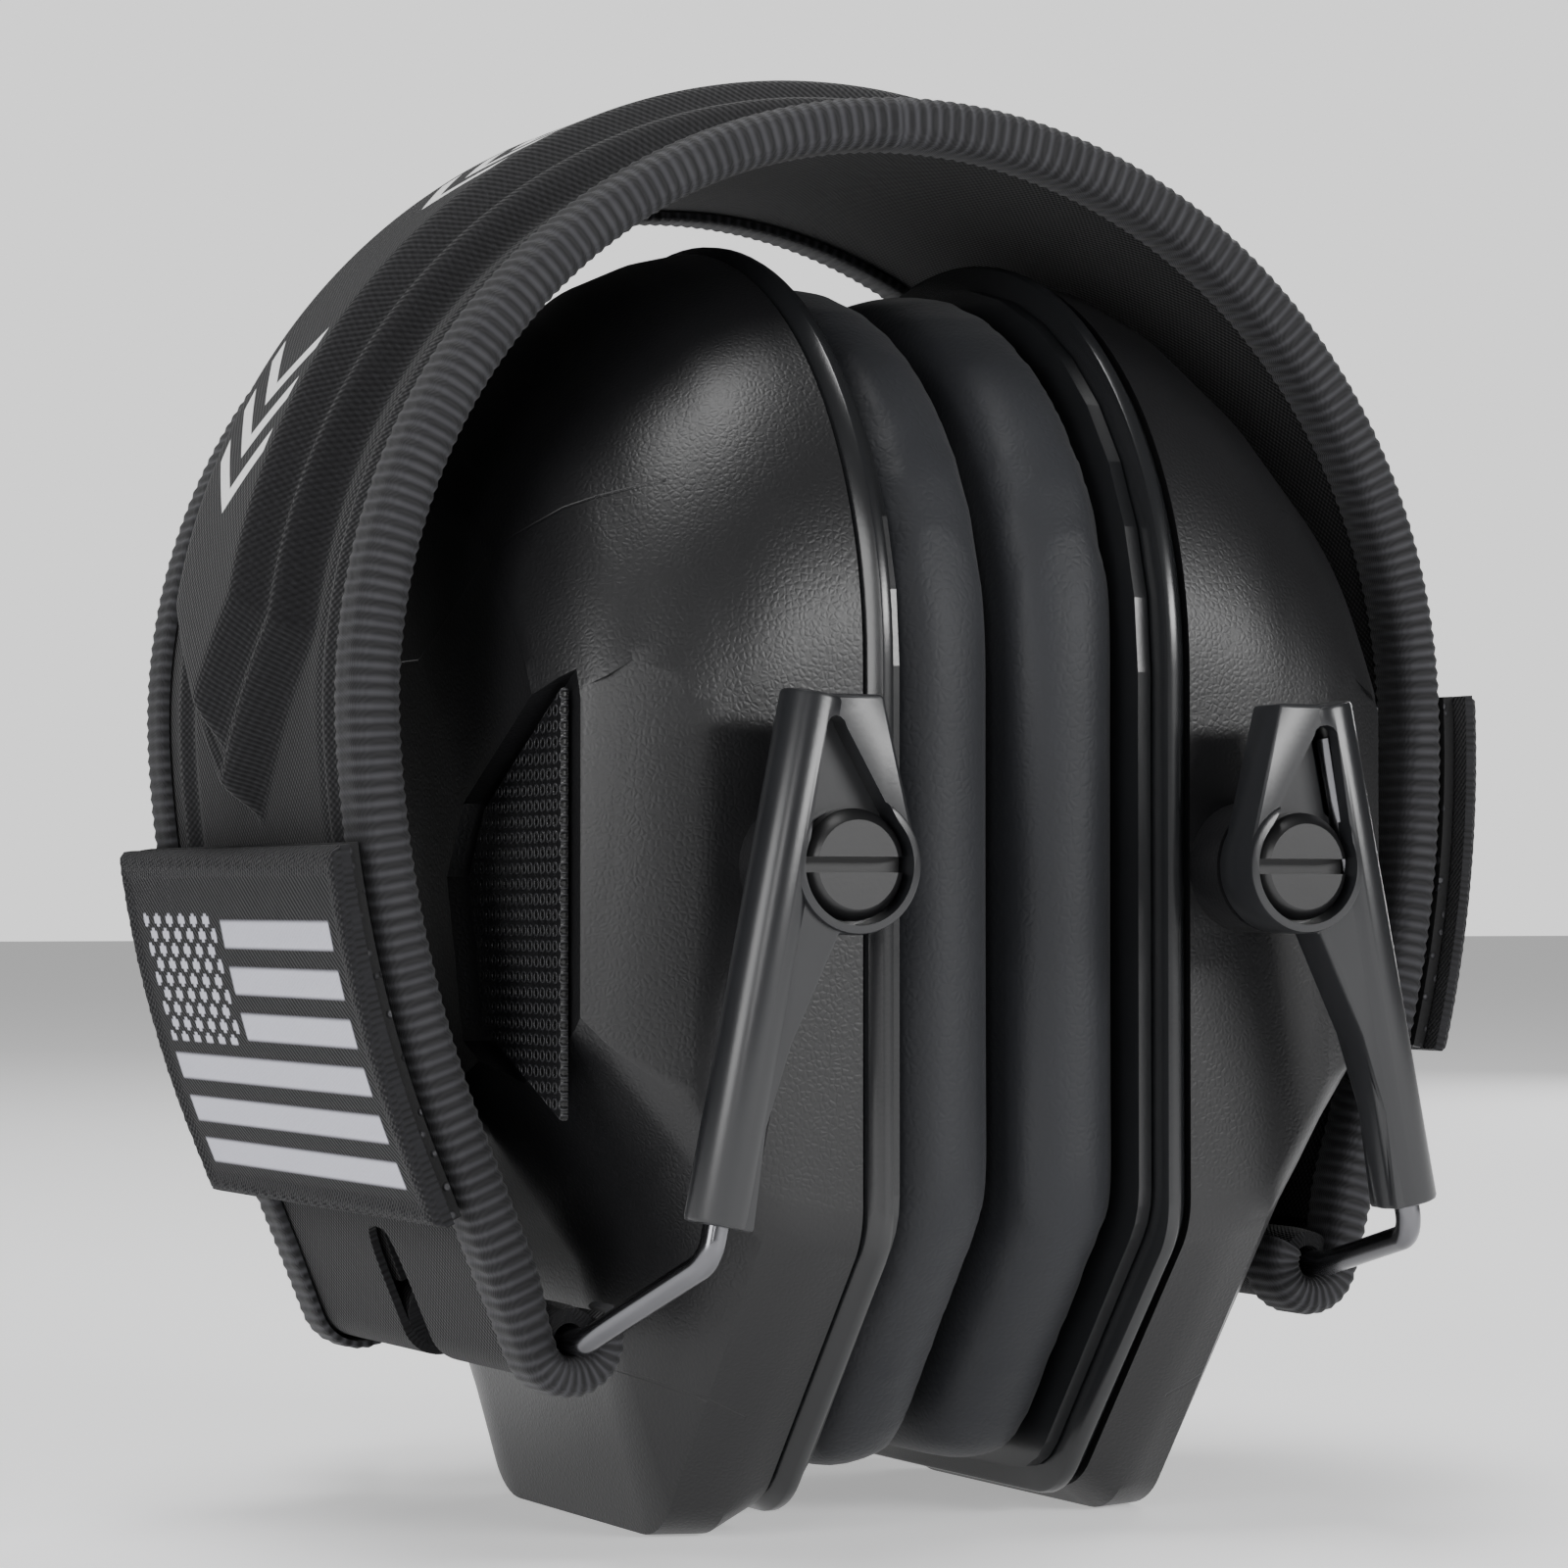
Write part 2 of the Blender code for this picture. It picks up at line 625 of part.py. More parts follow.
def sleeve_outline():
    """Web of the right sleeve seen from the front, as (x, z)."""
    bottom, top = sleeve_reach()
    upper = leg_point(1, 1, top)
    lower = leg_point(1, 1, bottom)
    foot = lower.z - CUP_MIDDLE
    points = [Vector((upper.x, SLEEVE_TOP)), Vector((PIVOT_X - SLEEVE_TOP_SHOULDER, SLEEVE_TOP))]
    for step in range(9):
        angle = math.radians(165.0 + 15.0 * step)
        ring = Vector((math.cos(angle), math.sin(angle))) * SLEEVE_RING_RADIUS
        points.append(Vector((PIVOT_X, PIVOT_Z)) + ring)
    for inwards, height in SLEEVE_TAPER:
        points.append(Vector((lower.x - inwards, height)))
    points.append(Vector((lower.x - SLEEVE_FOOT_WIDTH, foot - SLEEVE_FOOT_RISE)))
    points.append(Vector((lower.x, foot)))
    return points


def make_sleeve(shop, name, side, end):
    """Sleeve that slides on a wire leg and carries the cup's pivot."""
    outline = [(side * p[0], p[1]) for p in sleeve_outline()]
    web = loft([along(outline, end * y) for y in (SLEEVE_BACK + 0.4 * MM, SLEEVE_WEB_FRONT)])
    sleeve = shop.part(name, web, "sleeve_plastic", 30.0)
    bottom, top = sleeve_reach()
    tube = rod(leg_point(side, end, bottom), leg_point(side, end, top), SLEEVE_TUBE_RADIUS, 20)
    combine(sleeve, shop.cutter(name + "_tube", tube), "UNION")
    height = CUP_MIDDLE + PIVOT_Z
    x = side * PIVOT_X
    back = (x, end * SLEEVE_BACK, height)
    ring_radius = SLEEVE_RING_RADIUS - 0.05 * MM
    ring = rod(back, (x, end * SLEEVE_FRONT, height), ring_radius, 32)
    combine(sleeve, shop.cutter(name + "_ring", ring), "UNION")
    bore = rod(
        leg_point(side, end, bottom - 2.0 * MM),
        leg_point(side, end, top - BORE_TOP_MARGIN),
        WIRE_BORE_RADIUS,
        12,
    )
    combine(sleeve, shop.cutter(name + "_bore", bore), "DIFFERENCE")
    head = rod(
        (x, end * SLEEVE_COUNTERBORE_FLOOR, height),
        (x, end * (SLEEVE_FRONT + 1.0 * MM), height),
        SLEEVE_COUNTERBORE_RADIUS,
        32,
    )
    combine(sleeve, shop.cutter(name + "_counterbore", head), "DIFFERENCE")
    shaft_low = (x, end * (SLEEVE_BACK - PAST), height)
    shaft = rod(shaft_low, (x, end * SLEEVE_FRONT, height), PIN_BORE_RADIUS)
    combine(sleeve, shop.cutter(name + "_shaft", shaft), "DIFFERENCE")
    return sleeve


def make_fork(shop, name, side):
    """Bent wire: two legs joined through the tunnel of the band end."""
    hinge = leaned(side, hinge_point())
    front = fork_half(side, -1, hinge)
    rear = fork_half(side, 1, hinge)
    points = front + list(reversed(rear))
    curve = bpy.data.curves.new(name, "CURVE")
    curve.dimensions = "3D"
    curve.bevel_depth = WIRE_RADIUS
    curve.bevel_resolution = 2
    curve.use_fill_caps = True
    spline = curve.splines.new("POLY")
    spline.points.add(len(points) - 1)
    for knot, point in zip(spline.points, points):
        knot.co = (*point, 1.0)
    guide = bpy.data.objects.new(name + "_guide", curve)
    shop.cutters.objects.link(guide)
    bpy.context.view_layer.update()
    evaluated = guide.evaluated_get(bpy.context.evaluated_depsgraph_get())
    wire = bpy.data.meshes.new_from_object(evaluated)
    bpy.data.objects.remove(guide, do_unlink=True)
    bm = bmesh.new()
    bm.from_mesh(wire)
    bpy.data.meshes.remove(wire)
    bmesh.ops.remove_doubles(bm, verts=bm.verts, dist=0.00001)
    bmesh.ops.recalc_face_normals(bm, faces=bm.faces)
    fork = shop.part(name, bm, "wire_steel", 60.0)
    return fork


def fork_half(side, end, hinge):
    """Knots of half a fork, from the free end of the leg to the middle of the tunnel."""
    bend = leg_point(side, end, 0.0)
    free_end = leg_point(side, end, LEG_LENGTH)
    mouth = Vector((hinge.x, end * (LOOP_HALF_WIDTH + 1.6 * MM), CUP_MIDDLE + hinge.y))
    middle = Vector((hinge.x, end * 1.0 * MM, CUP_MIDDLE + hinge.y))
    knots = [free_end, leg_point(side, end, LEG_LENGTH / 2.0)]
    knots += corner_arc(free_end, bend, mouth, BEND_ROUNDING)
    knots += corner_arc(bend, mouth, middle, BEND_ROUNDING)
    knots.append(middle)
    return knots


def corner_arc(before, corner, after, radius):
    """Four knots that round a corner of the wire."""
    start = corner + (before - corner).normalized() * radius
    end = corner + (after - corner).normalized() * radius
    knots = []
    for step in range(4):
        share = step / 3.0
        knots.append(start.lerp(corner, share).lerp(corner.lerp(end, share), share))
    return knots


# ---------------------------------------------------------------- headband pieces


def make_half_strip(shop, name, side, depths, half_width, finish, tail):
    """One layer of a band half, from the crown joint to its end."""
    first = CROWN_HALF_ANGLE + HALF_GAP_ANGLE
    outer = band_path(first, SIDE_END, depths[0], tail)
    inner = band_path(first, SIDE_END, depths[1], tail)
    return shop.part(name, ribbon(side, outer, inner, -half_width, half_width), finish, 30.0)


def crown_path(depth):
    """Points (x, z) across the crown segment, left to right."""
    right = band_path(0.0, CROWN_HALF_ANGLE, depth)
    left = [Vector((-p[0], p[1])) for p in reversed(right[1:])]
    return left + right


def make_crown_strip(shop, name, depths, low_y, high_y, finish):
    """One layer of the crown segment."""
    strip = ribbon(1, crown_path(depths[0]), crown_path(depths[1]), low_y, high_y)
    return shop.part(name, strip, finish, 30.0)


def binding_tail():
    """Length of the straight end that the binding covers."""
    return STRAIGHT_LENGTH - LOOP_RADIUS - GAP


def channel(shop, binding, outer, inner, side, end):
    """Hollow a solid edge strip into a channel that holds the band's layers."""
    open_y = end * (BAND_HALF_WIDTH - BINDING_FLANGE - 1.0 * MM)
    wall_y = end * (BAND_HALF_WIDTH - BINDING_WALL)
    core = ribbon(side, outer, inner, min(open_y, wall_y), max(open_y, wall_y))
    combine(binding, shop.cutter(binding.name + "_core", core), "DIFFERENCE")


def make_half_binding(shop, name, side, end):
    """Ribbed tape folded over one edge of a band half."""
    first = CROWN_HALF_ANGLE + HALF_GAP_ANGLE
    tail = binding_tail()
    outer = band_path(first, SIDE_END, 0.0, tail)
    inner = band_path(first, SIDE_END, BINDING_DEPTH, tail)
    edges = sorted((end * (BAND_HALF_WIDTH - BINDING_FLANGE), end * BAND_HALF_WIDTH))
    binding = shop.part(name, ribbon(side, outer, inner, *edges), "binding_tape", 30.0)
    before = first - math.radians(1.5)
    core_outer = band_path(before, SIDE_END, BINDING_WALL, tail + 1.0 * MM)
    core_inner = band_path(before, SIDE_END, BINDING_DEPTH - BINDING_WALL, tail + 1.0 * MM)
    channel(shop, binding, core_outer, core_inner, side, end)
    return binding


def make_crown_binding(shop, name, end):
    """Ribbed tape folded over one edge of the crown segment."""
    edges = sorted((end * (BAND_HALF_WIDTH - BINDING_FLANGE), end * BAND_HALF_WIDTH))
    binding = make_crown_strip(shop, name, (0.0, BINDING_DEPTH), *edges, "binding_tape")
    wide = CROWN_HALF_ANGLE + math.radians(1.5)
    paths = []
    for depth in (BINDING_WALL, BINDING_DEPTH - BINDING_WALL):
        right = band_path(0.0, wide, depth)
        left = [Vector((-p[0], p[1])) for p in reversed(right[1:])]
        paths.append(left + right)
    channel(shop, binding, paths[0], paths[1], 1, end)
    return binding


def pod_section(turn, half_width, rise):
    """Flat-topped section of the padded pod at a turn from the top of the band."""
    base = band_point(turn, -GAP + COVER_DEPTHS[0])
    crest = band_point(turn, COVER_DEPTHS[0] - GAP - rise)
    slope = min(POD_SLOPE, half_width * 0.6)
    places = (
        (base, -half_width),
        (crest, -half_width + slope),
        (crest, half_width - slope),
        (base, half_width),
    )
    return [(place[0], y, place[1]) for place, y in places]


def make_pod(shop, name, side, turns):
    """Raised padding along the middle of the band, from (turn, half width, rise) stations."""
    rings = []
    for turn, half_width, rise in turns:
        section = pod_section(abs(turn), half_width, rise)
        sign = side if turn >= 0.0 else -side
        rings.append([Vector((sign * x, y, CUP_MIDDLE + z)) for x, y, z in section])
    return shop.part(name, loft(rings), "band_fabric", 50.0)


def half_pod_turns():
    """Stations of a half's pod, from the crown joint to its pointed tip."""
    first = CROWN_HALF_ANGLE + HALF_GAP_ANGLE
    turns = []
    steps = 12
    for step in range(steps + 1):
        turn = first + (POD_SHOULDER_ANGLE - first) * step / steps
        turns.append((turn, POD_HALF_WIDTH, POD_HEIGHT))
    turns.append((POD_TIP_ANGLE - math.radians(4.0), POD_HALF_WIDTH * 0.45, POD_HEIGHT * 0.9))
    turns.append((POD_TIP_ANGLE, POD_HALF_WIDTH * 0.12, POD_HEIGHT * 0.15))
    return turns


def crown_pod_turns():
    """Stations of the crown's pod."""
    return [(CROWN_HALF_ANGLE * step / 3.0, POD_HALF_WIDTH, POD_HEIGHT) for step in range(-3, 4)]


def make_end_loop(shop, name, side):
    """Rolled end of the fabric with the tunnel for the wire, notched in the middle."""
    hinge = hinge_point()
    x = side * hinge[0]
    z = CUP_MIDDLE + hinge[1]
    tube = rod((x, -LOOP_HALF_WIDTH, z), (x, LOOP_HALF_WIDTH, z), LOOP_RADIUS)
    loop = shop.part(name, tube, "band_fabric", 40.0)
    bore_reach = LOOP_HALF_WIDTH + PAST
    bore = rod((x, -bore_reach, z), (x, bore_reach, z), LOOP_BORE_RADIUS, 16)
    combine(loop, shop.cutter(name + "_bore", bore), "DIFFERENCE")
    reach = sorted((x - side * NOTCH_DEPTH, x + side * NOTCH_REACH))
    notch = block(
        (reach[0], -SLOT_HALF_WIDTH, z - NOTCH_REACH),
        (reach[1], SLOT_HALF_WIDTH, z + NOTCH_REACH),
    )
    combine(loop, shop.cutter(name + "_notch", notch), "DIFFERENCE")
    return loop


def cut_end_slot(shop, strip, side):
    """Cut the long slot through a layer of the band end."""
    hinge = hinge_point()
    direction = band_end_direction()
    start = hinge - direction * (SLOT_LENGTH + LOOP_RADIUS)
    normal = Vector((-direction[1], direction[0]))
    length = SLOT_LENGTH + 8.0 * MM
    rings = []
    for reach in (-8.0 * MM, 12.0 * MM):
        ring = []
        for distance, y in ((0.0, -1.0), (0.0, 1.0), (length, 1.0), (length, -1.0)):
            place = start + direction * distance + normal * reach
            ring.append(Vector((side * place[0], y * SLOT_HALF_WIDTH, CUP_MIDDLE + place[1])))
        rings.append(ring)
    combine(strip, shop.cutter(strip.name + "_slot", loft(rings)), "DIFFERENCE")


def make_patch_layer(shop, name, side, lift, thickness, half_width, finish):
    """Flat layer of a patch that follows the side of the band."""
    start = math.pi / 2.0 + PATCH_START_ANGLE
    end = start + PATCH_LENGTH / SIDE_RADIUS
    outer = band_path(start, end, -lift - thickness)
    inner = band_path(start, end, -lift)
    return shop.part(name, ribbon(side, outer, inner, -half_width, half_width), finish, 30.0)


# ---------------------------------------------------------------- assembly


def hang_all(shop, pieces, frame_name):
    """Hang pieces and the cutters that shape them on one empty."""
    for piece in pieces:
        shop.hang(piece, frame_name)
        for modifier in piece.modifiers:
            shop.hang(modifier.object, frame_name)


def make_cup(shop, prefix, side):
    """All pieces that swing on one cup's pivot axis."""
    pieces = [
        make_shell(shop, prefix + "_cup_shell", side),
        make_rim(shop, prefix + "_cup_rim", side),
        make_cushion_ring(shop, prefix + "_cushion_ring", side),
        make_cushion(shop, prefix + "_cushion", side),
        make_foam(shop, prefix + "_acoustic_foam", side),
    ]
    for end_name, end in ENDS.items():
        pieces.append(make_grille(shop, prefix + "_grille_" + end_name, side, end))
        pieces.append(make_pin(shop, prefix + "_pivot_pin_" + end_name, side, end))
    hang_all(shop, pieces, prefix + "_pivot_axis")


def make_suspension(shop, prefix, side):
    """The wire fork that folds in the band end, and the sleeves on its legs."""
    pieces = [make_fork(shop, prefix + "_wire_fork", side)]
    for end_name, end in ENDS.items():
        pieces.append(make_sleeve(shop, prefix + "_sleeve_" + end_name, side, end))
    hang_all(shop, pieces, prefix + "_fold_axis")


def make_band_half(shop, prefix, side):
    """All pieces of one half of the headband."""
    tail = binding_tail()
    width = BAND_HALF_WIDTH - EDGE_GAP
    cover = make_half_strip(shop, prefix + "_band_cover", side, COVER_DEPTHS, width, "band_fabric", tail)
    liner = make_half_strip(shop, prefix + "_band_liner", side, LINER_DEPTHS, width, "liner_fabric", tail)
    for layer in (cover, liner):
        cut_end_slot(shop, layer, side)
    spring = make_half_strip(
        shop, prefix + "_spring_strip", side, SPRING_DEPTHS, SPRING_HALF_WIDTH, "spring_steel", 0.0
    )
    backing_sizes = (PATCH_LIFT, PATCH_BACKING, PATCH_HALF_WIDTH - PATCH_OVERHANG)
    backing = make_patch_layer(shop, prefix + "_patch_backing", side, *backing_sizes, "hook_tape")
    patch_sizes = (PATCH_LIFT + PATCH_BACKING + GAP, PATCH_THICKNESS, PATCH_HALF_WIDTH)
    patch = make_patch_layer(shop, prefix + "_patch", side, *patch_sizes, "patch_cloth")
    pieces = [
        cover,
        liner,
        spring,
        make_pod(shop, prefix + "_pod_pad", side, half_pod_turns()),
        make_end_loop(shop, prefix + "_end_loop", side),
        backing,
        patch,
    ]
    for end_name, end in ENDS.items():
        pieces.append(make_half_binding(shop, prefix + "_binding_" + end_name, side, end))
    hang_all(shop, pieces, prefix + "_flex_axis")


def make_crown(shop):
    """The middle segment of the headband."""
    width = BAND_HALF_WIDTH - EDGE_GAP
    pieces = [
        make_crown_strip(shop, "crown_cover", COVER_DEPTHS, -width, width, "band_fabric"),
        make_crown_strip(shop, "crown_liner", LINER_DEPTHS, -width, width, "liner_fabric"),
        make_crown_strip(
            shop, "crown_spring", SPRING_DEPTHS, -SPRING_HALF_WIDTH, SPRING_HALF_WIDTH, "spring_steel"
        ),
        make_pod(shop, "crown_pod_pad", 1, crown_pod_turns()),
    ]
    for end_name, end in ENDS.items():
        pieces.append(make_crown_binding(shop, "crown_binding_" + end_name, end))
    hang_all(shop, pieces, "crown_frame")


def main():
    """Build the whole part."""
    clear_scene()
    shop = Workshop()
    make_crown(shop)
    for prefix, side in SIDES.items():
        make_band_half(shop, prefix, side)
        make_cup(shop, prefix, side)
        make_suspension(shop, prefix, side)
    bpy.context.view_layer.update()


main()
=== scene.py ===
import json
import math

import bmesh
import bpy
from bpy.props import FloatProperty, FloatVectorProperty, IntProperty, PointerProperty
from bpy.types import Operator, Panel, PropertyGroup
from mathutils import Matrix, Vector


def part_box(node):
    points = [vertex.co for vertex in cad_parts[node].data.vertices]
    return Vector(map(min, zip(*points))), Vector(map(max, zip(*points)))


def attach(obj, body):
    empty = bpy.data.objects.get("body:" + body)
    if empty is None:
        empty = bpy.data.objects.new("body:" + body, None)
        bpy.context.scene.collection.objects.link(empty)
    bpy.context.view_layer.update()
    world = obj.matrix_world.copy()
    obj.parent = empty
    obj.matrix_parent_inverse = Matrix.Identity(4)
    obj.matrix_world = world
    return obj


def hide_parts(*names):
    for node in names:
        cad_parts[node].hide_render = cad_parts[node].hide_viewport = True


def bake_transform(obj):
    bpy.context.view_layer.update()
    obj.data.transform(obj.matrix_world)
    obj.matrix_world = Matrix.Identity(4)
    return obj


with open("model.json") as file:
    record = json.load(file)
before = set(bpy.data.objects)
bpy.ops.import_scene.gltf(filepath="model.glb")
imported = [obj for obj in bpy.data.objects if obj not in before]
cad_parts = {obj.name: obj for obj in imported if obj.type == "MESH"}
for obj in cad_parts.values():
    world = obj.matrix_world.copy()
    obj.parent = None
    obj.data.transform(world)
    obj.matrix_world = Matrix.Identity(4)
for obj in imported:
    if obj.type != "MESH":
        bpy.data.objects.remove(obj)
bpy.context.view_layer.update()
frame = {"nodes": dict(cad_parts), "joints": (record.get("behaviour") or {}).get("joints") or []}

bl_info = {
    "name": "Folding Earmuff",
    "version": (1, 0, 0),
    "blender": (4, 5, 0),
    "location": "View3D > Sidebar > Earmuff",
    "description": "Models a folding earmuff with a padded fabric headband around its CAD frame",
    "category": "Object",
}

MM = 0.001
SIDES = {"left": -1, "right": 1}
ENDS = {"front": -1, "rear": 1}

# The cups' rims give the middle plane between the cups and the height that the rest is measured from.
RIM_BOXES = {side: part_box(side + "_cup_rim") for side in SIDES}
MIDDLE_X = (RIM_BOXES["left"][0].x + RIM_BOXES["right"][1].x) / 2.0
RIM_HALF_WIDTH = RIM_BOXES["right"][1].y
RIM_TOP_ABOVE_MIDDLE = 53.6 * MM
MIDDLE_Z = RIM_BOXES["right"][1].z - RIM_TOP_ABOVE_MIDDLE

# Axis of the pivot pins: distance from the middle plane, and height above the cups' middle.
PIVOT_OUT = 20.6 * MM
PIVOT_UP = -0.7 * MM

# Depths of the band's layers below its outer face, and how far they stay inside its edge.
COVER_FACE = 1.05 * MM
COVER_BACK = 1.75 * MM
LINING_FACE = 2.45 * MM
LINING_BACK = 3.15 * MM
LINING_SWELL = 0.5 * MM
EDGE_INSET = 1.0 * MM

# Bores that the wire and the pivot pins pass through.
TUNNEL_RADIUS = 1.4 * MM
PIN_BORE_RADIUS = 2.7 * MM


# ---------------------------------------------------------------- sizes and colours


def length(name, description, default):
    """A length that the sidebar shows in the scene's units."""
    return FloatProperty(name=name, description=description, default=default, unit="LENGTH", precision=5)


def angle(name, description, degrees):
    """An angle that the sidebar shows in degrees."""
    return FloatProperty(
        name=name, description=description, default=math.radians(degrees), subtype="ANGLE", unit="ROTATION"
    )


def colour(name, description, default):
    """A colour swatch."""
    return FloatVectorProperty(
        name=name, description=description, default=default, size=3, subtype="COLOR", min=0.0, max=1.0
    )


class EarmuffBandSizes(PropertyGroup):
    """Sizes of the headband, seen from the front as two arcs and a straight end on each side."""

    crown_radius: length("Crown radius", "Radius of the band over the top", 51.5 * MM)
    crown_centre: length("Crown centre", "Height of the crown arc's centre above the cups' middle", 12.5 * MM)
    side_radius: length("Side radius", "Radius of the band beside the cups", 100.0 * MM)
    side_angle: angle("Side angle", "Turn of the band beside the cups", 19.5)
    straight: length("Straight end", "Straight length down to the wire's tunnel", 18.6 * MM)
    lean: angle("Lean", "How far the whole band leans to the left", 3.2)
    lean_height: length("Lean height", "Height about which the band leans", -38.7 * MM)
    half_width: length("Half width", "Half the width of the band", 26.2 * MM)
    binding_depth: length("Binding depth", "Thickness of the bound edge", 4.2 * MM)
    binding_flange: length("Binding flange", "Width of the tape on the band's faces", 5.0 * MM)
    binding_wall: length("Binding wall", "Thickness of the tape", 0.8 * MM)
    rib_pitch: length("Rib pitch", "Distance between the ribs of the tape", 1.12 * MM)
    rib_height: length("Rib height", "Height of the ribs of the tape", 0.17 * MM)
    pod_half_width: length("Pod half width", "Half the width of the raised padding", 13.5 * MM)
    pod_height: length("Pod height", "Height of the raised padding", 5.4 * MM)
    pod_shoulder: length("Pod shoulder", "Distance from the top to where the padding narrows", 72.0 * MM)
    pod_tip: length("Pod tip", "Distance from the top to the padding's pointed end", 88.0 * MM)
    bend_above: length("Bend above", "Reach of the band's bend towards the top", 1.0 * MM)
    bend_below: length("Bend below", "Reach of the band's bend towards the end", 34.0 * MM)
    loop_radius: length("Roll radius", "Radius of the rolled band end", 4.6 * MM)
    patch_height: length("Patch height", "Height of the patch along the band", 31.0 * MM)
    patch_half_width: length("Patch half width", "Half the width of the patch", 26.8 * MM)
    patch_start: length("Patch start", "Distance from the top to the patch", 86.1 * MM)
    left_patch_shift: length("Left patch shift", "How much lower the left patch sits", 3.2 * MM)
    right_patch_shift: length("Right patch shift", "How much lower the right patch sits", -4.5 * MM)


class EarmuffCupSizes(PropertyGroup):
    """Sizes of the cups and of what they hang on."""

    rim_inner: length("Rim inner face", "Distance of the rim's inner face from the middle", 12.7 * MM)
    rim_outer: length("Rim outer face", "Distance of the rim's outer face from the middle", 15.0 * MM)
    cushion_face: length("Cushion face", "Distance of the cushion's face from the middle", 0.35 * MM)
    cushion_back: length("Cushion back", "Distance of the cushion's back from the middle", 10.9 * MM)
    pin_head: length("Pin head radius", "Radius of the pivot pin's head", 4.4 * MM)
    collar: length("Collar radius", "Radius of the raised collar round the pin", 5.5 * MM)
    sleeve_length: length("Sleeve length", "Length of the sleeve along the wire", 42.0 * MM)
    tube_radius: length("Tube radius", "Radius of the sleeve's tube", 2.6 * MM)
    wire_radius: length("Wire radius", "Radius of the fork's wire", 1.05 * MM)
    leg_tilt: angle("Leg tilt", "Tilt of the wire's legs", 11.5)
    leg_y: length("Leg distance", "Distance of the wire's legs from the middle", 44.6 * MM)
    leg_length: length("Leg length", "Length of the wire's legs", 42.0 * MM)
    curve_steps: IntProperty(
        name="Curve steps", description="Steps round the cup's half-round top", default=56, min=16, max=96
    )


class EarmuffColours(PropertyGroup):
    """Base colours of the finishes."""

    shell: colour("Shell", "Black grained plastic", (0.0065, 0.0065, 0.0072))
    rim: colour("Rim", "Smooth satin plastic", (0.0105, 0.011, 0.012))
    sleeve: colour("Sleeve", "Grey satin plastic", (0.0125, 0.013, 0.0145))
    pin: colour("Pin", "Black plastic", (0.006, 0.006, 0.0065))
    cushion: colour("Cushion", "Charcoal leatherette", (0.0125, 0.0135, 0.0165))
    wire: colour("Wire", "Black-nickel plated wire", (0.17, 0.17, 0.18))
    fabric: colour("Fabric", "Charcoal knit", (0.0085, 0.0085, 0.0095))
    lining: colour("Lining", "Near-black lining", (0.0042, 0.0042, 0.0048))
    binding: colour("Binding", "Ribbed tape", (0.021, 0.021, 0.0235))
    patch: colour("Patch", "Black twill", (0.006, 0.006, 0.007))
    thread: colour("Thread", "Lavender-white embroidery thread", (0.63, 0.63, 0.72))
    print_white: colour("Print", "Off-white print on the padding", (0.78, 0.78, 0.78))
    foam: colour("Foam", "Grey open-cell foam", (0.045, 0.045, 0.048))
    steel: colour("Spring steel", "Bare spring strip", (0.42, 0.42, 0.43))


def band():
    """The headband's sizes."""
    return bpy.context.scene.earmuff_band


def cup():
    """The cups' sizes."""
    return bpy.context.scene.earmuff_cup


def colours():
    """The base colours."""
    return bpy.context.scene.earmuff_colours


# ---------------------------------------------------------------- shader maths


class Tone:
    """A socket of a finish. Arithmetic on it adds Math nodes."""

    def __init__(self, finish, socket):
        self.finish = finish
        self.socket = socket

    def math(self, operation, *values):
        """Result of a Math node on this and other values."""
        return self.finish.node("ShaderNodeMath", {"operation": operation}, [self, *values])

    def __add__(self, other):
        return self.math("ADD", other)

    def __radd__(self, other):
        return self.math("ADD", other)

    def __sub__(self, other):
        return self.math("SUBTRACT", other)

    def __rsub__(self, other):
        return self.finish.node("ShaderNodeMath", {"operation": "SUBTRACT"}, [other, self])

    def __mul__(self, other):
        return self.math("MULTIPLY", other)

    def __rmul__(self, other):
        return self.math("MULTIPLY", other)

    def __truediv__(self, other):
        return self.math("DIVIDE", other)

    def wave(self, pitch, shift=0.0):
        """A sine of this distance, from 0 to 1, with a given pitch."""
        return (self * (2.0 * math.pi / pitch) + shift).math("SINE") * 0.5 + 0.5

    def step(self, low, high):
        """A smooth step from 0 at low to 1 at high."""
        settings = {"interpolation_type": "SMOOTHSTEP"}
        values = {"Value": self, "From Min": low, "From Max": high}
        return self.finish.node("ShaderNodeMapRange", settings, values, "Result")

    def inside(self, low, high, soft):
        """One between two values and zero outside, with soft edges."""
        return self.step(low - soft, low + soft) * (1.0 - self.step(high - soft, high + soft))


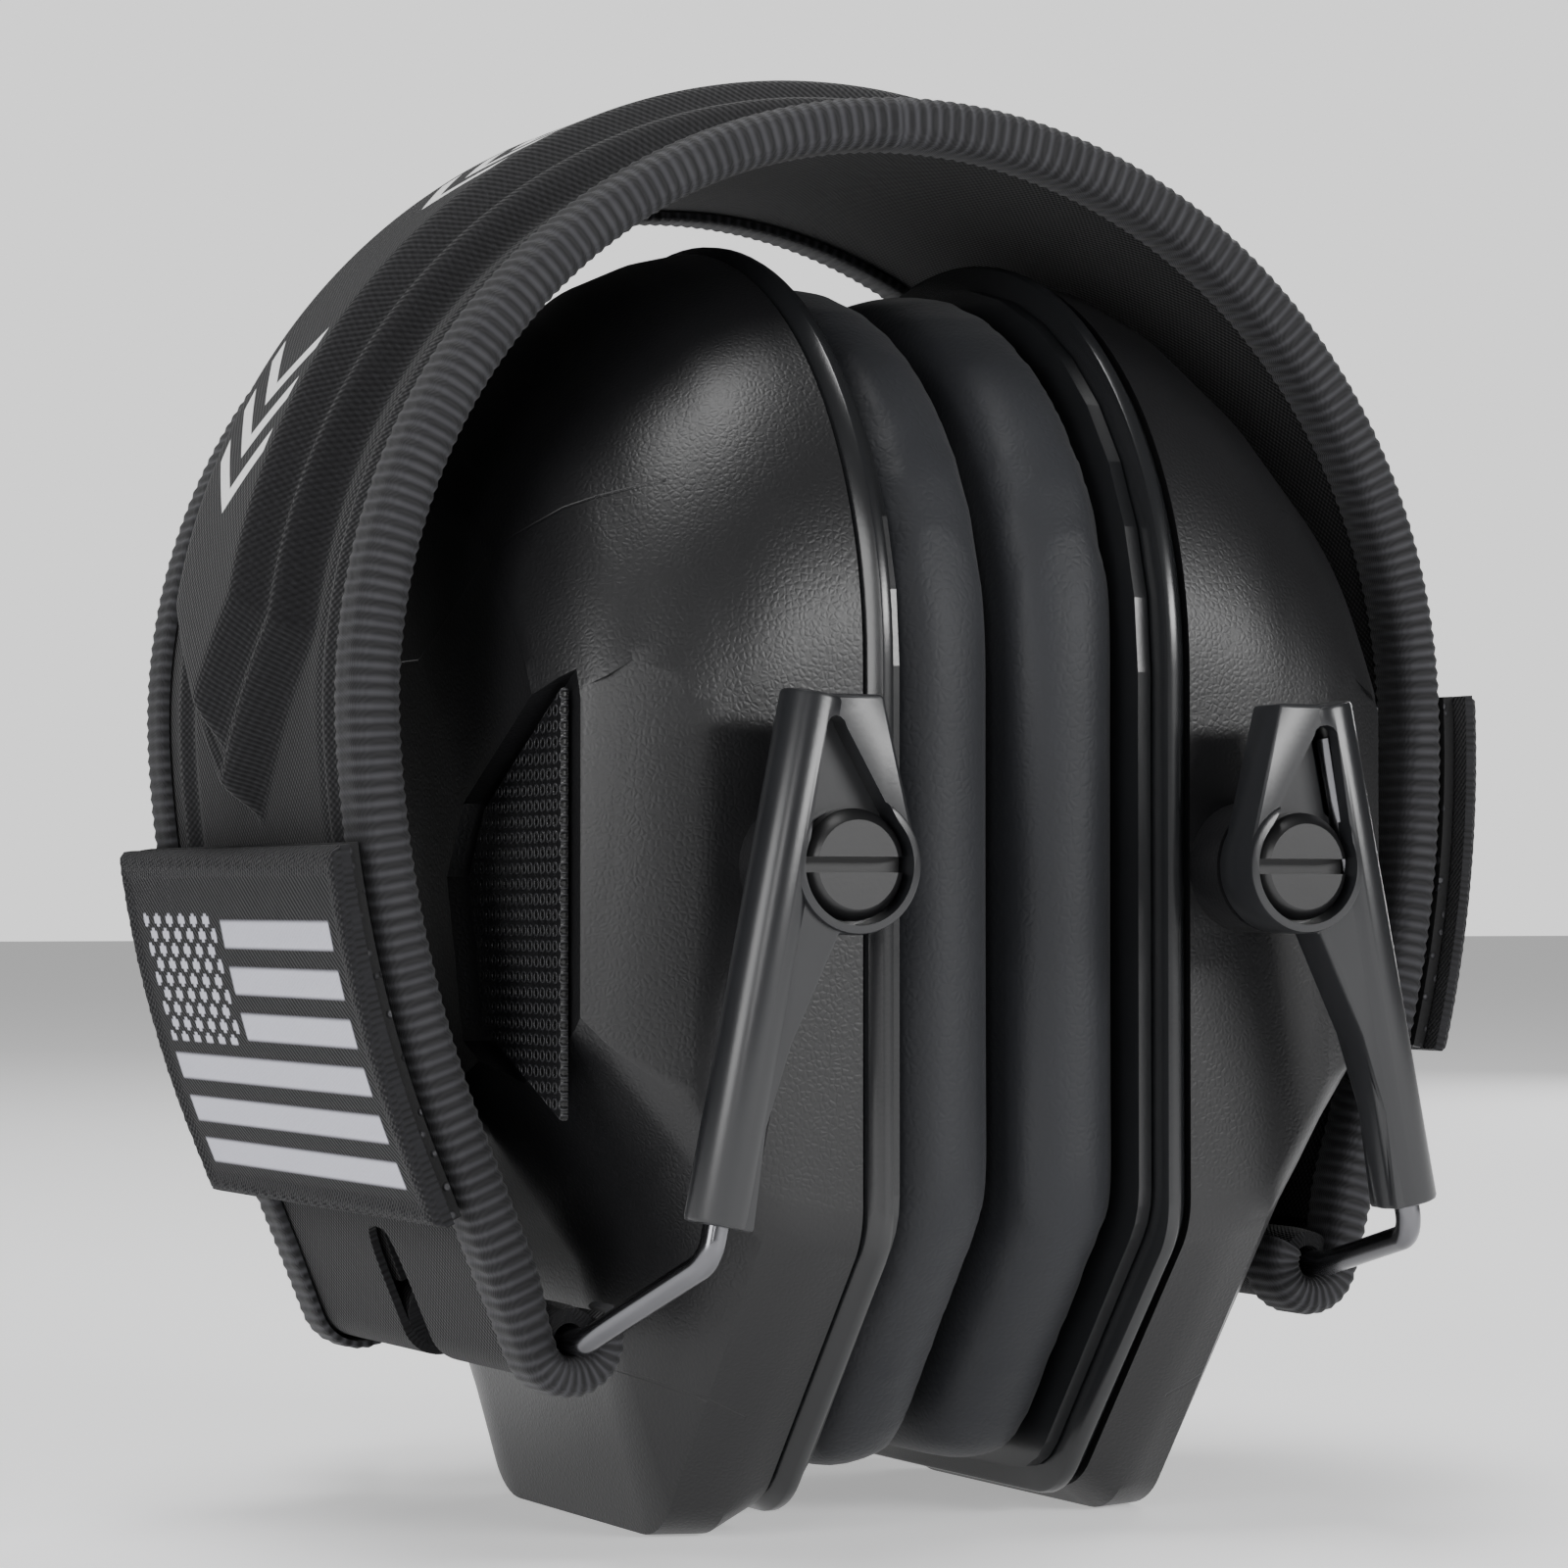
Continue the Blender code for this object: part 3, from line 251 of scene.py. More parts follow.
class Finish:
    """A Principled material that is built up from nodes."""

    def __init__(self, name):
        self.material = bpy.data.materials.new(name)
        self.material.use_nodes = True
        self.tree = self.material.node_tree
        self.shader = self.tree.nodes["Principled BSDF"]

    def node(self, kind, settings=None, inputs=(), output=0):
        """Add a node with its settings and its inputs, and return one of its outputs."""
        node = self.tree.nodes.new(kind)
        for key, value in (settings or {}).items():
            setattr(node, key, value)
        pairs = inputs.items() if isinstance(inputs, dict) else enumerate(inputs)
        for key, value in pairs:
            self.feed(node.inputs[key], value)
        return Tone(self, node.outputs[output])

    def feed(self, socket, value):
        """Link a tone to a socket, or set the socket's value."""
        if isinstance(value, Tone):
            self.tree.links.new(value.socket, socket)
        else:
            socket.default_value = value

    def set(self, **values):
        """Set sockets of the shader; underscores stand for spaces."""
        for key, value in values.items():
            name = key.replace("_", " ")
            if isinstance(value, tuple) and len(value) == 3:
                value = (*value, 1.0)
            self.feed(self.shader.inputs[name], value)
        return self

    def place(self):
        """Object coordinates."""
        return self.node("ShaderNodeTexCoord", output="Object")

    def chart(self):
        """Distances along and across a fabric piece, from its own UV map."""
        uv = self.node("ShaderNodeUVMap", {"uv_map": "cloth"})
        along = self.node("ShaderNodeSeparateXYZ", {}, [uv], "X")
        across = self.node("ShaderNodeSeparateXYZ", {}, [uv], "Y")
        return uv, along, across

    def noise(self, where, size, detail=2.0, roughness=0.5):
        """Noise with features of a given size."""
        values = {"Vector": where, "Scale": 1.0 / size, "Detail": detail, "Roughness": roughness}
        return self.node("ShaderNodeTexNoise", {}, values)

    def cells(self, where, size, feature="DISTANCE_TO_EDGE"):
        """Distance within a pattern of cells of a given size."""
        values = {"Vector": where, "Scale": 1.0 / size}
        return self.node("ShaderNodeTexVoronoi", {"feature": feature}, values, "Distance")

    def mix(self, factor, first, second):
        """A mix of two colours."""
        first = (*first, 1.0) if isinstance(first, tuple) and len(first) == 3 else first
        second = (*second, 1.0) if isinstance(second, tuple) and len(second) == 3 else second
        return self.node("ShaderNodeMix", {"data_type": "RGBA"}, {0: factor, 6: first, 7: second}, 2)

    def shades(self, factor, base, low, high):
        """A colour that varies between two multiples of its base."""
        dark = tuple(channel * low for channel in base)
        light = tuple(min(1.0, channel * high) for channel in base)
        return self.mix(factor, dark, light)

    def bump(self, height, distance, strength=1.0):
        """Link a height map to the shader's normal."""
        values = {"Strength": strength, "Distance": distance, "Height": height}
        self.set(Normal=self.node("ShaderNodeBump", {}, values, "Normal"))
        return self


def base_of(name):
    """A base colour as a plain tuple."""
    return tuple(getattr(colours(), name))


def grained_plastic():
    """Black moulded plastic with a fine leather grain."""
    finish = Finish("shell_plastic")
    where = finish.place()
    grain = finish.cells(where, 0.52 * MM).step(0.0, 0.35)
    fine = finish.noise(where, 0.22 * MM, 3.0)
    broad = finish.noise(where, 14.0 * MM, 3.0)
    finish.set(Base_Color=finish.shades(broad, base_of("shell"), 0.85, 1.2))
    finish.set(Roughness=0.33 + broad * 0.08 + fine * 0.06, Specular_IOR_Level=0.5)
    seams = panel_seams(finish, where)
    return finish.bump(grain * 0.16 + fine * 0.08 - seams * 1.2, 0.22 * MM, 0.32)


def panel_seams(finish, where):
    """Fine seams between the shell's panels, the same at the front and at the rear."""
    axes = {axis: finish.node("ShaderNodeSeparateXYZ", {}, [where], axis) for axis in "XYZ"}
    out = (axes["X"] - MIDDLE_X).math("ABSOLUTE")
    across = axes["Y"].math("ABSOLUTE")
    up = axes["Z"] - MIDDLE_Z
    half = 0.14 * MM
    soft = 0.05 * MM
    outer = out.step(29.0 * MM, 29.5 * MM)
    level = (up - 16.7 * MM).inside(-half, half, soft) * (1.0 - across.step(3.3 * MM, 3.5 * MM))
    rise = (up - across * 0.543 - 14.7 * MM).inside(-half, half, soft) * across.inside(3.4 * MM, 26.4 * MM, soft)
    edge = (up - across * 0.385 - 18.85 * MM).inside(-half, half, soft) * across.step(26.4 * MM, 26.5 * MM)
    low = (up - out * 0.48 + 55.4 * MM).inside(-half, half, soft) * out.inside(20.0 * MM, 30.0 * MM, soft)
    return ((level + rise + edge) * outer + low).math("MINIMUM", 1.0)


def smooth_plastic(name, base, roughness):
    """Smooth satin plastic with faint flow marks and handling wear."""
    finish = Finish(name)
    where = finish.place()
    fine = finish.noise(where, 0.35 * MM, 3.0)
    broad = finish.noise(where, 9.0 * MM, 4.0, 0.6)
    finish.set(Base_Color=finish.shades(broad, base_of(base), 0.85, 1.2))
    finish.set(Roughness=roughness + broad * 0.08, Specular_IOR_Level=0.6)
    return finish.bump(fine, 0.02 * MM, 0.25)


def perforated_plastic():
    """Dark plastic covered with rows of small moulded rings."""
    finish = Finish("grille_plastic")
    where = finish.place()
    y = finish.node("ShaderNodeSeparateXYZ", {}, [where], "Y")
    z = finish.node("ShaderNodeSeparateXYZ", {}, [where], "Z")
    pitch = 1.25 * MM
    row = (y / pitch).math("FRACT") - 0.5
    column = (z / pitch).math("FRACT") - 0.5
    radius = (row * row + column * column).math("SQRT")
    ring = radius.inside(0.26, 0.40, 0.05)
    hole = 1.0 - radius.step(0.16, 0.22)
    fine = finish.noise(where, 0.25 * MM, 2.0)
    # Painted light: the raised rings are painted lighter than the plate as painted highlights on their crests, and
    # the holes near black as painted shade inside them.
    face = finish.mix(ring, base_of("shell"), (0.030, 0.030, 0.033))
    finish.set(Base_Color=finish.mix(hole, face, (0.001, 0.001, 0.001)))
    finish.set(Roughness=0.34 + fine * 0.1)
    return finish.bump(ring - hole * 1.2, 0.22 * MM, 0.9)


def leatherette():
    """Soft charcoal leatherette with fine pores and faint creases."""
    finish = Finish("cushion_skin")
    where = finish.place()
    pores = finish.cells(where, 0.75 * MM).step(0.0, 0.30)
    fine = finish.noise(where, 0.30 * MM, 3.0)
    creases = finish.noise(where, 7.0 * MM, 5.0, 0.62)
    # The colour follows the creases' relief: darker in their hollows and lighter on their ridges, which is painted
    # shade and light.
    finish.set(Base_Color=finish.shades(creases, base_of("cushion"), 0.85, 1.15))
    finish.set(Roughness=0.50 + creases * 0.12, Specular_IOR_Level=0.35, Sheen_Weight=0.06)
    return finish.bump(pores * 0.55 + fine * 0.25 + creases * 1.3, 0.06 * MM, 0.45)


def plated_wire():
    """Black-nickel plate with faint drawing lines."""
    finish = Finish("wire_steel")
    where = finish.place()
    smudge = finish.noise(where, 5.0 * MM, 3.0)
    lines = finish.noise(where, 0.25 * MM, 2.0)
    finish.set(Base_Color=finish.shades(smudge, base_of("wire"), 0.85, 1.15), Metallic=1.0)
    finish.set(Roughness=0.16 + smudge * 0.10)
    return finish.bump(lines, 0.01 * MM, 0.15)


def brushed_steel():
    """Bare spring strip with brushing across it."""
    finish = Finish("spring_steel")
    where = finish.place()
    stretched = finish.node("ShaderNodeMapping", {}, {"Vector": where, "Scale": (1.0, 0.04, 1.0)})
    lines = finish.noise(stretched, 0.3 * MM, 3.0)
    finish.set(Base_Color=finish.shades(lines, base_of("steel"), 0.8, 1.15), Metallic=1.0)
    return finish.set(Roughness=0.28 + lines * 0.15).bump(lines, 0.02 * MM, 0.3)


def open_foam():
    """Open-cell foam with visible pores."""
    finish = Finish("acoustic_foam")
    where = finish.place()
    pores = finish.cells(where, 0.9 * MM, "F1")
    fine = finish.noise(where, 0.5 * MM, 4.0)
    # The pores are painted darker than the foam around them: painted shade inside the pores.
    finish.set(Base_Color=finish.shades(pores, base_of("foam"), 0.35, 1.25), Roughness=0.95)
    return finish.bump(pores + fine * 0.4, 0.4 * MM, 0.8)


def knit_height(finish, along, across, uv):
    """Height of a fine diagonal knit, from 0 to 1, with uneven threads."""
    pitch = 0.66 * MM
    uneven = finish.noise(uv, 1.6 * MM, 2.0)
    first = (along + across + uneven * (0.25 * MM)).wave(pitch)
    second = (along - across).wave(pitch * 0.9)
    return first * 0.55 + second * 0.45, uneven


def printed_knit():
    """Charcoal knit with two plain chevrons printed on each half's padding."""
    finish = Finish("band_fabric")
    uv, along, across = finish.chart()
    height, uneven = knit_height(finish, along, across, uv)
    speckle = finish.noise(uv, 0.28 * MM, 2.0).step(0.50, 0.72)
    # The knit's height also sets its colour: the threads' tops lighter and the hollows between them darker, as
    # painted light and shade; the speckle is lighter thread.
    cloth = finish.shades(height * 0.6 + speckle * 0.5, base_of("fabric"), 0.45, 1.9)
    slant = across.math("ABSOLUTE") * 0.9
    half_bar = 1.0 * MM
    spacing = 4.6 * MM
    soft = 0.08 * MM
    marks = None
    for centre in (25.0 * MM, 55.0 * MM):
        bars = None
        for offset in (-spacing, 0.0, spacing):
            bar = (along + slant - (centre + offset + 2.0 * MM)).inside(-half_bar, half_bar, soft)
            bars = bar if bars is None else bars + bar
        marks = bars if marks is None else marks + bars
    side = across.math("ABSOLUTE").inside(-1.0, 5.2 * MM, soft)
    worn = 1.0 - finish.noise(uv, 0.5 * MM, 2.0).step(0.68, 0.80) * 0.6
    mark = marks * side * worn
    finish.set(Base_Color=finish.mix(mark, cloth, base_of("print_white")))
    finish.set(Roughness=0.93 - mark * 0.25, Sheen_Weight=0.10, Sheen_Roughness=0.5, Specular_IOR_Level=0.25)
    return finish.bump(height * (1.0 - mark * 0.5) + uneven * 0.5, 0.13 * MM, 0.75)


def plain_knit(name, base):
    """The same knit without print."""
    finish = Finish(name)
    uv, along, across = finish.chart()
    height, uneven = knit_height(finish, along, across, uv)
    speckle = finish.noise(uv, 0.28 * MM, 2.0).step(0.50, 0.72)
    # The knit's height sets the colour as painted light and shade: lighter thread tops, darker hollows; the
    # speckle is lighter thread.
    finish.set(Base_Color=finish.shades(height * 0.6 + speckle * 0.5, base_of(base), 0.45, 1.9))
    finish.set(Roughness=0.94, Sheen_Weight=0.06, Specular_IOR_Level=0.22)
    return finish.bump(height + uneven * 0.5, 0.13 * MM, 0.7)


def grosgrain():
    """Ribbed tape: fine threads run along each rib, and the ribs' crests catch the light."""
    finish = Finish("binding_tape")
    uv, along, across = finish.chart()
    crest = along.wave(band().rib_pitch)
    threads = (across + along * 0.3).wave(0.30 * MM)
    uneven = finish.noise(uv, 1.2 * MM, 3.0)
    finish.set(Base_Color=finish.shades(crest * crest * 0.75 + uneven * 0.25, base_of("binding"), 0.22, 1.9))
    finish.set(Roughness=0.70 + threads * 0.15, Sheen_Weight=0.08, Specular_IOR_Level=0.3)
    return finish.bump(threads * 0.4 + uneven * 0.8, 0.07 * MM, 0.6)


def embroidery():
    """Black twill with satin-stitched bars, a field of small crosses and a stitched border."""
    finish = Finish("patch_cloth")
    uv, along, across = finish.chart()
    down = (along - band().patch_start) / band().patch_height
    over = 0.5 - across / (2.0 * band().patch_half_width)
    twill = (along * 1.2 + across).wave(0.75 * MM)
    satin = (across + along * 0.15).wave(0.34 * MM)
    half_bar = 0.036
    bars = None
    for index in range(6):
        centre = 0.225 + index * 0.126
        start = 0.45 if index < 3 else 0.075
        bar = down.inside(centre - half_bar, centre + half_bar, 0.006) * over.inside(start, 0.925, 0.004)
        bars = bar if bars is None else bars + bar
    rows = 24.0
    columns = 17.0
    row = (down * rows).math("FLOOR")
    shifted = over * columns + row * 0.5
    cell_x = (shifted.math("FRACT") - 0.5).math("ABSOLUTE")
    cell_y = ((down * rows).math("FRACT") - 0.5).math("ABSOLUTE")
    arms = (1.0 - cell_x.step(0.09, 0.14)) * (1.0 - cell_y.step(0.42, 0.50))
    arms = arms.math("MAXIMUM", (1.0 - cell_y.step(0.20, 0.30)) * (1.0 - cell_x.step(0.24, 0.30)))
    field = down.inside(0.17, 0.53, 0.004) * over.inside(0.08, 0.42, 0.003)
    stitched = (bars + arms * field).math("MINIMUM", 1.0)
    edge = 1.0 - down.inside(0.07, 0.93, 0.006) * over.inside(0.045, 0.955, 0.004)
    cord = (along - across).wave(0.55 * MM) * edge
    fray = finish.noise(uv, 0.25 * MM, 2.0)
    # The twill's ridges and the border cord's crests are painted lighter and their hollows darker, as painted
    # light and shade; the fray noise is random tone.
    cloth = finish.shades(twill * 0.6 + cord * 0.6 + fray * 0.3, base_of("patch"), 0.35, 2.1)
    # The satin stitches are lighter along their crests: a painted sheen on the thread.
    thread = finish.shades(satin * 0.5 + fray * 0.5, base_of("thread"), 0.72, 1.12)
    finish.set(Base_Color=finish.mix(stitched, cloth, thread))
    finish.set(Roughness=0.85 - stitched * 0.35, Sheen_Weight=0.06, Specular_IOR_Level=0.3)
    relief = twill * (1.0 - stitched) * 0.45 + stitched * (0.9 + satin * 0.45) + cord * 0.8 + fray * 0.2
    return finish.bump(relief, 0.26 * MM, 0.85)


def hook_tape():
    """Black hook tape with rows of small hooks."""
    finish = Finish("hook_tape")
    where = finish.place()
    dots = 1.0 - finish.cells(where, 1.3 * MM, "F1").step(0.18, 0.34)
    fine = finish.noise(where, 0.4 * MM, 2.0)
    # The hooks are painted up to seven times lighter than the tape: painted highlights on the hooks.
    finish.set(Base_Color=finish.shades(dots, base_of("lining"), 0.8, 7.0))
    finish.set(Roughness=0.85 - dots * 0.3)
    return finish.bump(dots + fine * 0.3, 0.35 * MM, 0.9)


FINISH_MAKERS = {
    "shell_plastic": grained_plastic,
    "rim_plastic": lambda: smooth_plastic("rim_plastic", "rim", 0.20),
    "sleeve_plastic": lambda: smooth_plastic("sleeve_plastic", "sleeve", 0.26),
    "pin_plastic": lambda: smooth_plastic("pin_plastic", "pin", 0.34),
    "grille_plastic": perforated_plastic,
    "cushion_skin": leatherette,
    "foam": open_foam,
    "wire_steel": plated_wire,
    "spring_steel": brushed_steel,
    "band_fabric": printed_knit,
    "plain_fabric": lambda: plain_knit("plain_fabric", "fabric"),
    "liner_fabric": lambda: plain_knit("liner_fabric", "lining"),
    "binding_tape": grosgrain,
    "patch_cloth": embroidery,
    "hook_tape": hook_tape,
}
FINISHES = {}


def finish_named(name):
    """The material of a finish, made the first time that it is asked for."""
    if name not in FINISHES:
        FINISHES[name] = FINISH_MAKERS[name]().material
    return FINISHES[name]


# ---------------------------------------------------------------- modelling helpers


def deselect():
    """Leave edit mode and deselect everything."""
    active = bpy.context.view_layer.objects.active
    if active is not None and active.mode != "OBJECT":
        bpy.ops.object.mode_set(mode="OBJECT")
    bpy.ops.object.select_all(action="DESELECT")


def pick(piece):
    """Make one object the only selected and active one."""
    deselect()
    piece.select_set(True)
    bpy.context.view_layer.objects.active = piece


def put(piece, order, ring):
    """Move vertices, given by their numbers, to the points of a ring."""
    mesh = bmesh.from_edit_mesh(piece.data)
    mesh.verts.ensure_lookup_table()
    for number, point in zip(order, ring):
        mesh.verts[number].co = point


def select_only(piece, numbers):
    """Select just these vertices in edit mode."""
    bpy.ops.mesh.select_mode(type="VERT")
    bpy.ops.mesh.select_all(action="DESELECT")
    mesh = bmesh.from_edit_mesh(piece.data)
    mesh.verts.ensure_lookup_table()
    for number in numbers:
        mesh.verts[number].select = True
    mesh.select_flush_mode()
    bmesh.update_edit_mesh(piece.data)


def draw_rings(name, rings, closed=False):
    """Add a circle as the first ring and extrude it through the others; cap or join the ends."""
    deselect()
    bpy.ops.mesh.primitive_circle_add(vertices=len(rings[0]), radius=MM, fill_type="NOTHING")
    piece = bpy.context.object
    piece.name = name
    bpy.ops.object.mode_set(mode="EDIT")
    first = list(range(len(rings[0])))
    put(piece, first, rings[0])
    last = first
    for ring in rings[1:]:
        bpy.ops.mesh.extrude_region_move()
        mesh = bmesh.from_edit_mesh(piece.data)
        mesh.verts.index_update()
        mesh.verts.ensure_lookup_table()
        following = []
        for number in last:
            vertex = mesh.verts[number]
            others = [edge.other_vert(vertex) for edge in vertex.link_edges]
            following.append(next(other.index for other in others if other.select))
        last = following
        put(piece, last, ring)
    if closed:
        select_only(piece, first + last)
        bpy.ops.mesh.bridge_edge_loops()
    else:
        for order in (first, last):
            select_only(piece, order)
            bpy.ops.mesh.edge_face_add()
    bpy.ops.mesh.select_all(action="SELECT")
    bpy.ops.mesh.normals_make_consistent(inside=False)
    bpy.ops.object.mode_set(mode="OBJECT")
    return piece


def apply(piece, kind, **settings):
    """Add a modifier to a piece and apply it."""
    pick(piece)
    modifier = piece.modifiers.new(kind.lower(), kind)
    for key, value in settings.items():
        setattr(modifier, key, value)
    bpy.ops.object.modifier_apply(modifier=modifier.name)


def carve(piece, cutter, operation="DIFFERENCE"):
    """Cut a piece with another, or join them, and remove the cutter."""
    apply(piece, "BOOLEAN", operation=operation, solver="EXACT", object=cutter)
    bpy.data.objects.remove(cutter, do_unlink=True)


def soften(piece, width, degrees=35.0, segments=2):
    """Round the sharp edges of a piece."""
    apply(
        piece,
        "BEVEL",
        width=width,
        segments=segments,
        limit_method="ANGLE",
        angle_limit=math.radians(degrees),
        use_clamp_overlap=True,
    )


def shade(piece, degrees):
    """Shade a piece smooth up to an angle."""
    pick(piece)
    bpy.ops.object.shade_smooth_by_angle(angle=math.radians(degrees))


def round_bar(name, start, end, radius, sides=32):
    """A cylinder between two points, as a cutter or a part of a piece."""
    deselect()
    start = Vector(start)
    axis = Vector(end) - start
    bpy.ops.mesh.primitive_cylinder_add(
        vertices=sides,
        radius=radius,
        depth=axis.length,
        location=start + axis / 2.0,
        rotation=axis.to_track_quat("Z", "Y").to_euler(),
    )
    piece = bpy.context.object
    piece.name = name
    bpy.ops.object.transform_apply(location=True, rotation=True, scale=True)
    return piece


def pivot_bar(name, near, far, radius, sides=32):
    """A cylinder along the right pivots' axis, between two distances from the middle."""
    z = MIDDLE_Z + PIVOT_UP
    return round_bar(name, (PIVOT_OUT, near, z), (PIVOT_OUT, far, z), radius, sides)


def prism(name, corners, low, high, axis):
    """A prism over a flat outline, between two values of the third axis."""
    order = {"x": (2, 0, 1), "y": (0, 2, 1)}[axis]
    rings = []
    for level in (low, high):
        ring = []
        for a, b in corners:
            values = (a, b, level)
            ring.append(Vector((values[order[0]], values[order[1]], values[order[2]])))
        rings.append(ring)
    return draw_rings(name, rings)


def lean_matrix():
    """The headband's lean about the height of its ends."""
    pivot = Vector((0.0, 0.0, MIDDLE_Z + band().lean_height))
    turn = Matrix.Rotation(-band().lean, 4, "Y")
    return Matrix.Translation(pivot) @ turn @ Matrix.Translation(-pivot)


def copy_to(master, name, side, end=1, leans=False):
    """Copy a piece modelled at the right rear to another side and end, with its own mesh."""
    piece = bpy.data.objects.new(name, master.data.copy())
    bpy.context.scene.collection.objects.link(piece)
    matrix = Matrix.Diagonal((side, end, 1.0, 1.0))
    if leans:
        matrix = lean_matrix() @ matrix
    piece.data.transform(Matrix.Translation((MIDDLE_X, 0.0, 0.0)) @ matrix)
    if side * end < 0:
        piece.data.flip_normals()
    return piece


def dress(piece, finish):
    """Give a piece its finish."""
    piece.data.materials.clear()
    piece.data.materials.append(finish_named(finish))


def drop(piece):
    """Remove a piece that was only copied from."""
    bpy.data.objects.remove(piece, do_unlink=True)


def set_pair(master, name, finish, node, body, leans=False):
    """Copy a piece to both sides; each copy stands for its node and rides with its body."""
    pieces = []
    for prefix, side in SIDES.items():
        piece = copy_to(master, f"{prefix}_{name}", side, leans=leans)
        dress(piece, finish)
        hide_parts(f"{prefix}_{node}")
        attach(piece, f"{body}_{prefix}")
        pieces.append(piece)
    drop(master)
    return pieces


def set_four(master, name, finish, node, body):
    """Copy a piece to the front and the rear of both sides, as set_pair does."""
    for prefix, side in SIDES.items():
        for end_name, end in ENDS.items():
            piece = copy_to(master, f"{prefix}_{end_name}_{name}", side, end)
            dress(piece, finish)
            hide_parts(f"{prefix}_{node}_{end_name}")
            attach(piece, f"{body}_{prefix}")
    drop(master)


def joint_spot(name):
    """Place of a joint's axis at rest."""
    joint = next(item for item in frame["joints"] if item["name"] == name)
    return Vector(joint["pos_m"])


def turns(count):
    """Angles that divide a full turn evenly."""
    return [2.0 * math.pi * step / count for step in range(count)]


def smooth_step(value):
    """A smooth step from 0 to 1."""
    value = max(0.0, min(1.0, value))
    return value * value * (3.0 - 2.0 * value)


def hump(value, centre, width):
    """A smooth bump of height 1 around a centre."""
    return math.exp(-(((value - centre) / width) ** 2))


# ---------------------------------------------------------------- headband path


def crown_length():
    """Length of a quarter of the crown arc."""
    return band().crown_radius * math.pi / 2.0


def side_length():
    """Length of the side arc."""
    return band().side_radius * band().side_angle


def end_direction():
    """Direction (x, z) of the right band end."""
    return Vector((-math.sin(band().side_angle), -math.cos(band().side_angle)))


def band_spot(along, depth):
    """Point (x, z) of the right half: a distance along from the top and a depth below the face."""
    sizes = band()
    if along <= crown_length():
        turn = along / sizes.crown_radius
        radius = sizes.crown_radius - depth
        return Vector((radius * math.sin(turn), sizes.crown_centre + radius * math.cos(turn)))
    rest = along - crown_length()
    turn = min(rest / sizes.side_radius, sizes.side_angle)
    radius = sizes.side_radius - depth
    centre_x = sizes.crown_radius - sizes.side_radius
    spot = Vector((centre_x + radius * math.cos(turn), sizes.crown_centre - radius * math.sin(turn)))
    return spot + end_direction() * max(0.0, min(rest - side_length(), sizes.straight))


def flat_length():
    """Distance from the top to where the fabric starts to turn round the wire."""
    return crown_length() + side_length() + band().straight


def roll_length():
    """Length of the face of the fabric that turns round the wire."""
    return band().loop_radius * math.radians(195.0)


def loop_centre():
    """Centre (x, z) of the right rolled end."""
    return band_spot(flat_length(), band().loop_radius)


def fabric_spot(along, depth):
    """Like band_spot, but past the flat length the point goes round the wire."""
    if along <= flat_length():
        return band_spot(along, depth)
    turn = (along - flat_length()) / band().loop_radius
    direction = end_direction()
    outward = Vector((-direction.y, direction.x))
    radius = max(band().loop_radius - depth, cup().wire_radius + 0.2 * MM)
    return loop_centre() + (outward * math.cos(turn) + direction * math.sin(turn)) * radius


def distance_along(x, z):
    """Distance along the right half of the band of a point (x, z)."""
    sizes = band()
    if z >= sizes.crown_centre:
        return sizes.crown_radius * math.atan2(x, z - sizes.crown_centre)
    centre_x = sizes.crown_radius - sizes.side_radius
    turn = math.atan2(sizes.crown_centre - z, x - centre_x)
    if turn <= sizes.side_angle:
        return crown_length() + sizes.side_radius * turn
    direction = end_direction()
    offset = Vector((x, z)) - loop_centre()
    below = offset.dot(direction)
    out = offset.dot(Vector((-direction.y, direction.x)))
    if below <= 0.0 and out > 0.0:
        return flat_length() + below
    return flat_length() + sizes.loop_radius * (math.atan2(below, out) % (2.0 * math.pi))


def lay_chart(piece):
    """Write distances along and across the band to the piece's UV map."""
    chart = piece.data.uv_layers.new(name="cloth")
    for corner in piece.data.loops:
        point = piece.data.vertices[corner.vertex_index].co
        chart.data[corner.index].uv = (distance_along(point.x, point.z - MIDDLE_Z), point.y)


def band_ring(section, along):
    """Place a section of (y, depth) points at a distance along the right half."""
    ring = []
    for y, depth in section:
        spot = fabric_spot(along, depth)
        ring.append(Vector((spot.x, y, MIDDLE_Z + spot.y)))
    return ring


def evenly(first, last, spacing):
    """Values from first to last about a spacing apart."""
    count = max(1, round((last - first) / spacing))
    return [first + (last - first) * step / count for step in range(count + 1)]


def cut_slot(piece):
    """Cut the notch through the right band end, round at its top and open below the wire."""
    end = loop_centre()
    direction = end_direction()
    outward = Vector((-direction.y, direction.x))
    half_length = 9.5 * MM
    half_width = 3.0 * MM
    rings = []
    for reach in (-9.0 * MM, 12.0 * MM):
        ring = []
        for turn in turns(24):
            length_part = math.copysign(abs(math.cos(turn)) ** 0.5, math.cos(turn)) * half_length
            width_part = math.copysign(abs(math.sin(turn)) ** 0.5, math.sin(turn)) * half_width
            spot = end + direction * (length_part - 0.5 * MM) + outward * reach
            ring.append(Vector((spot.x, width_part, MIDDLE_Z + spot.y)))
        rings.append(ring)
    carve(piece, draw_rings("slot_cutter", rings))


def attach_band(piece, prefix, *nodes):
    """Bake a piece's transform into its mesh and let it stand for CAD nodes."""
    pivot = joint_spot(prefix + "_band_flex")
    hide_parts(*nodes)
    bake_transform(piece)


# ---------------------------------------------------------------- headband pieces


# The padding rises in two steps: share of its height, inset of the step's foot and width.
LOWER_STEP = (0.62, 0.0, 2.8 * MM)
UPPER_STEP = (0.38, 4.4 * MM, 2.6 * MM)

# Quilted groove between the steps: depth, inset and width.
QUILT_GROOVE = (0.55 * MM, 3.9 * MM, 0.8 * MM)

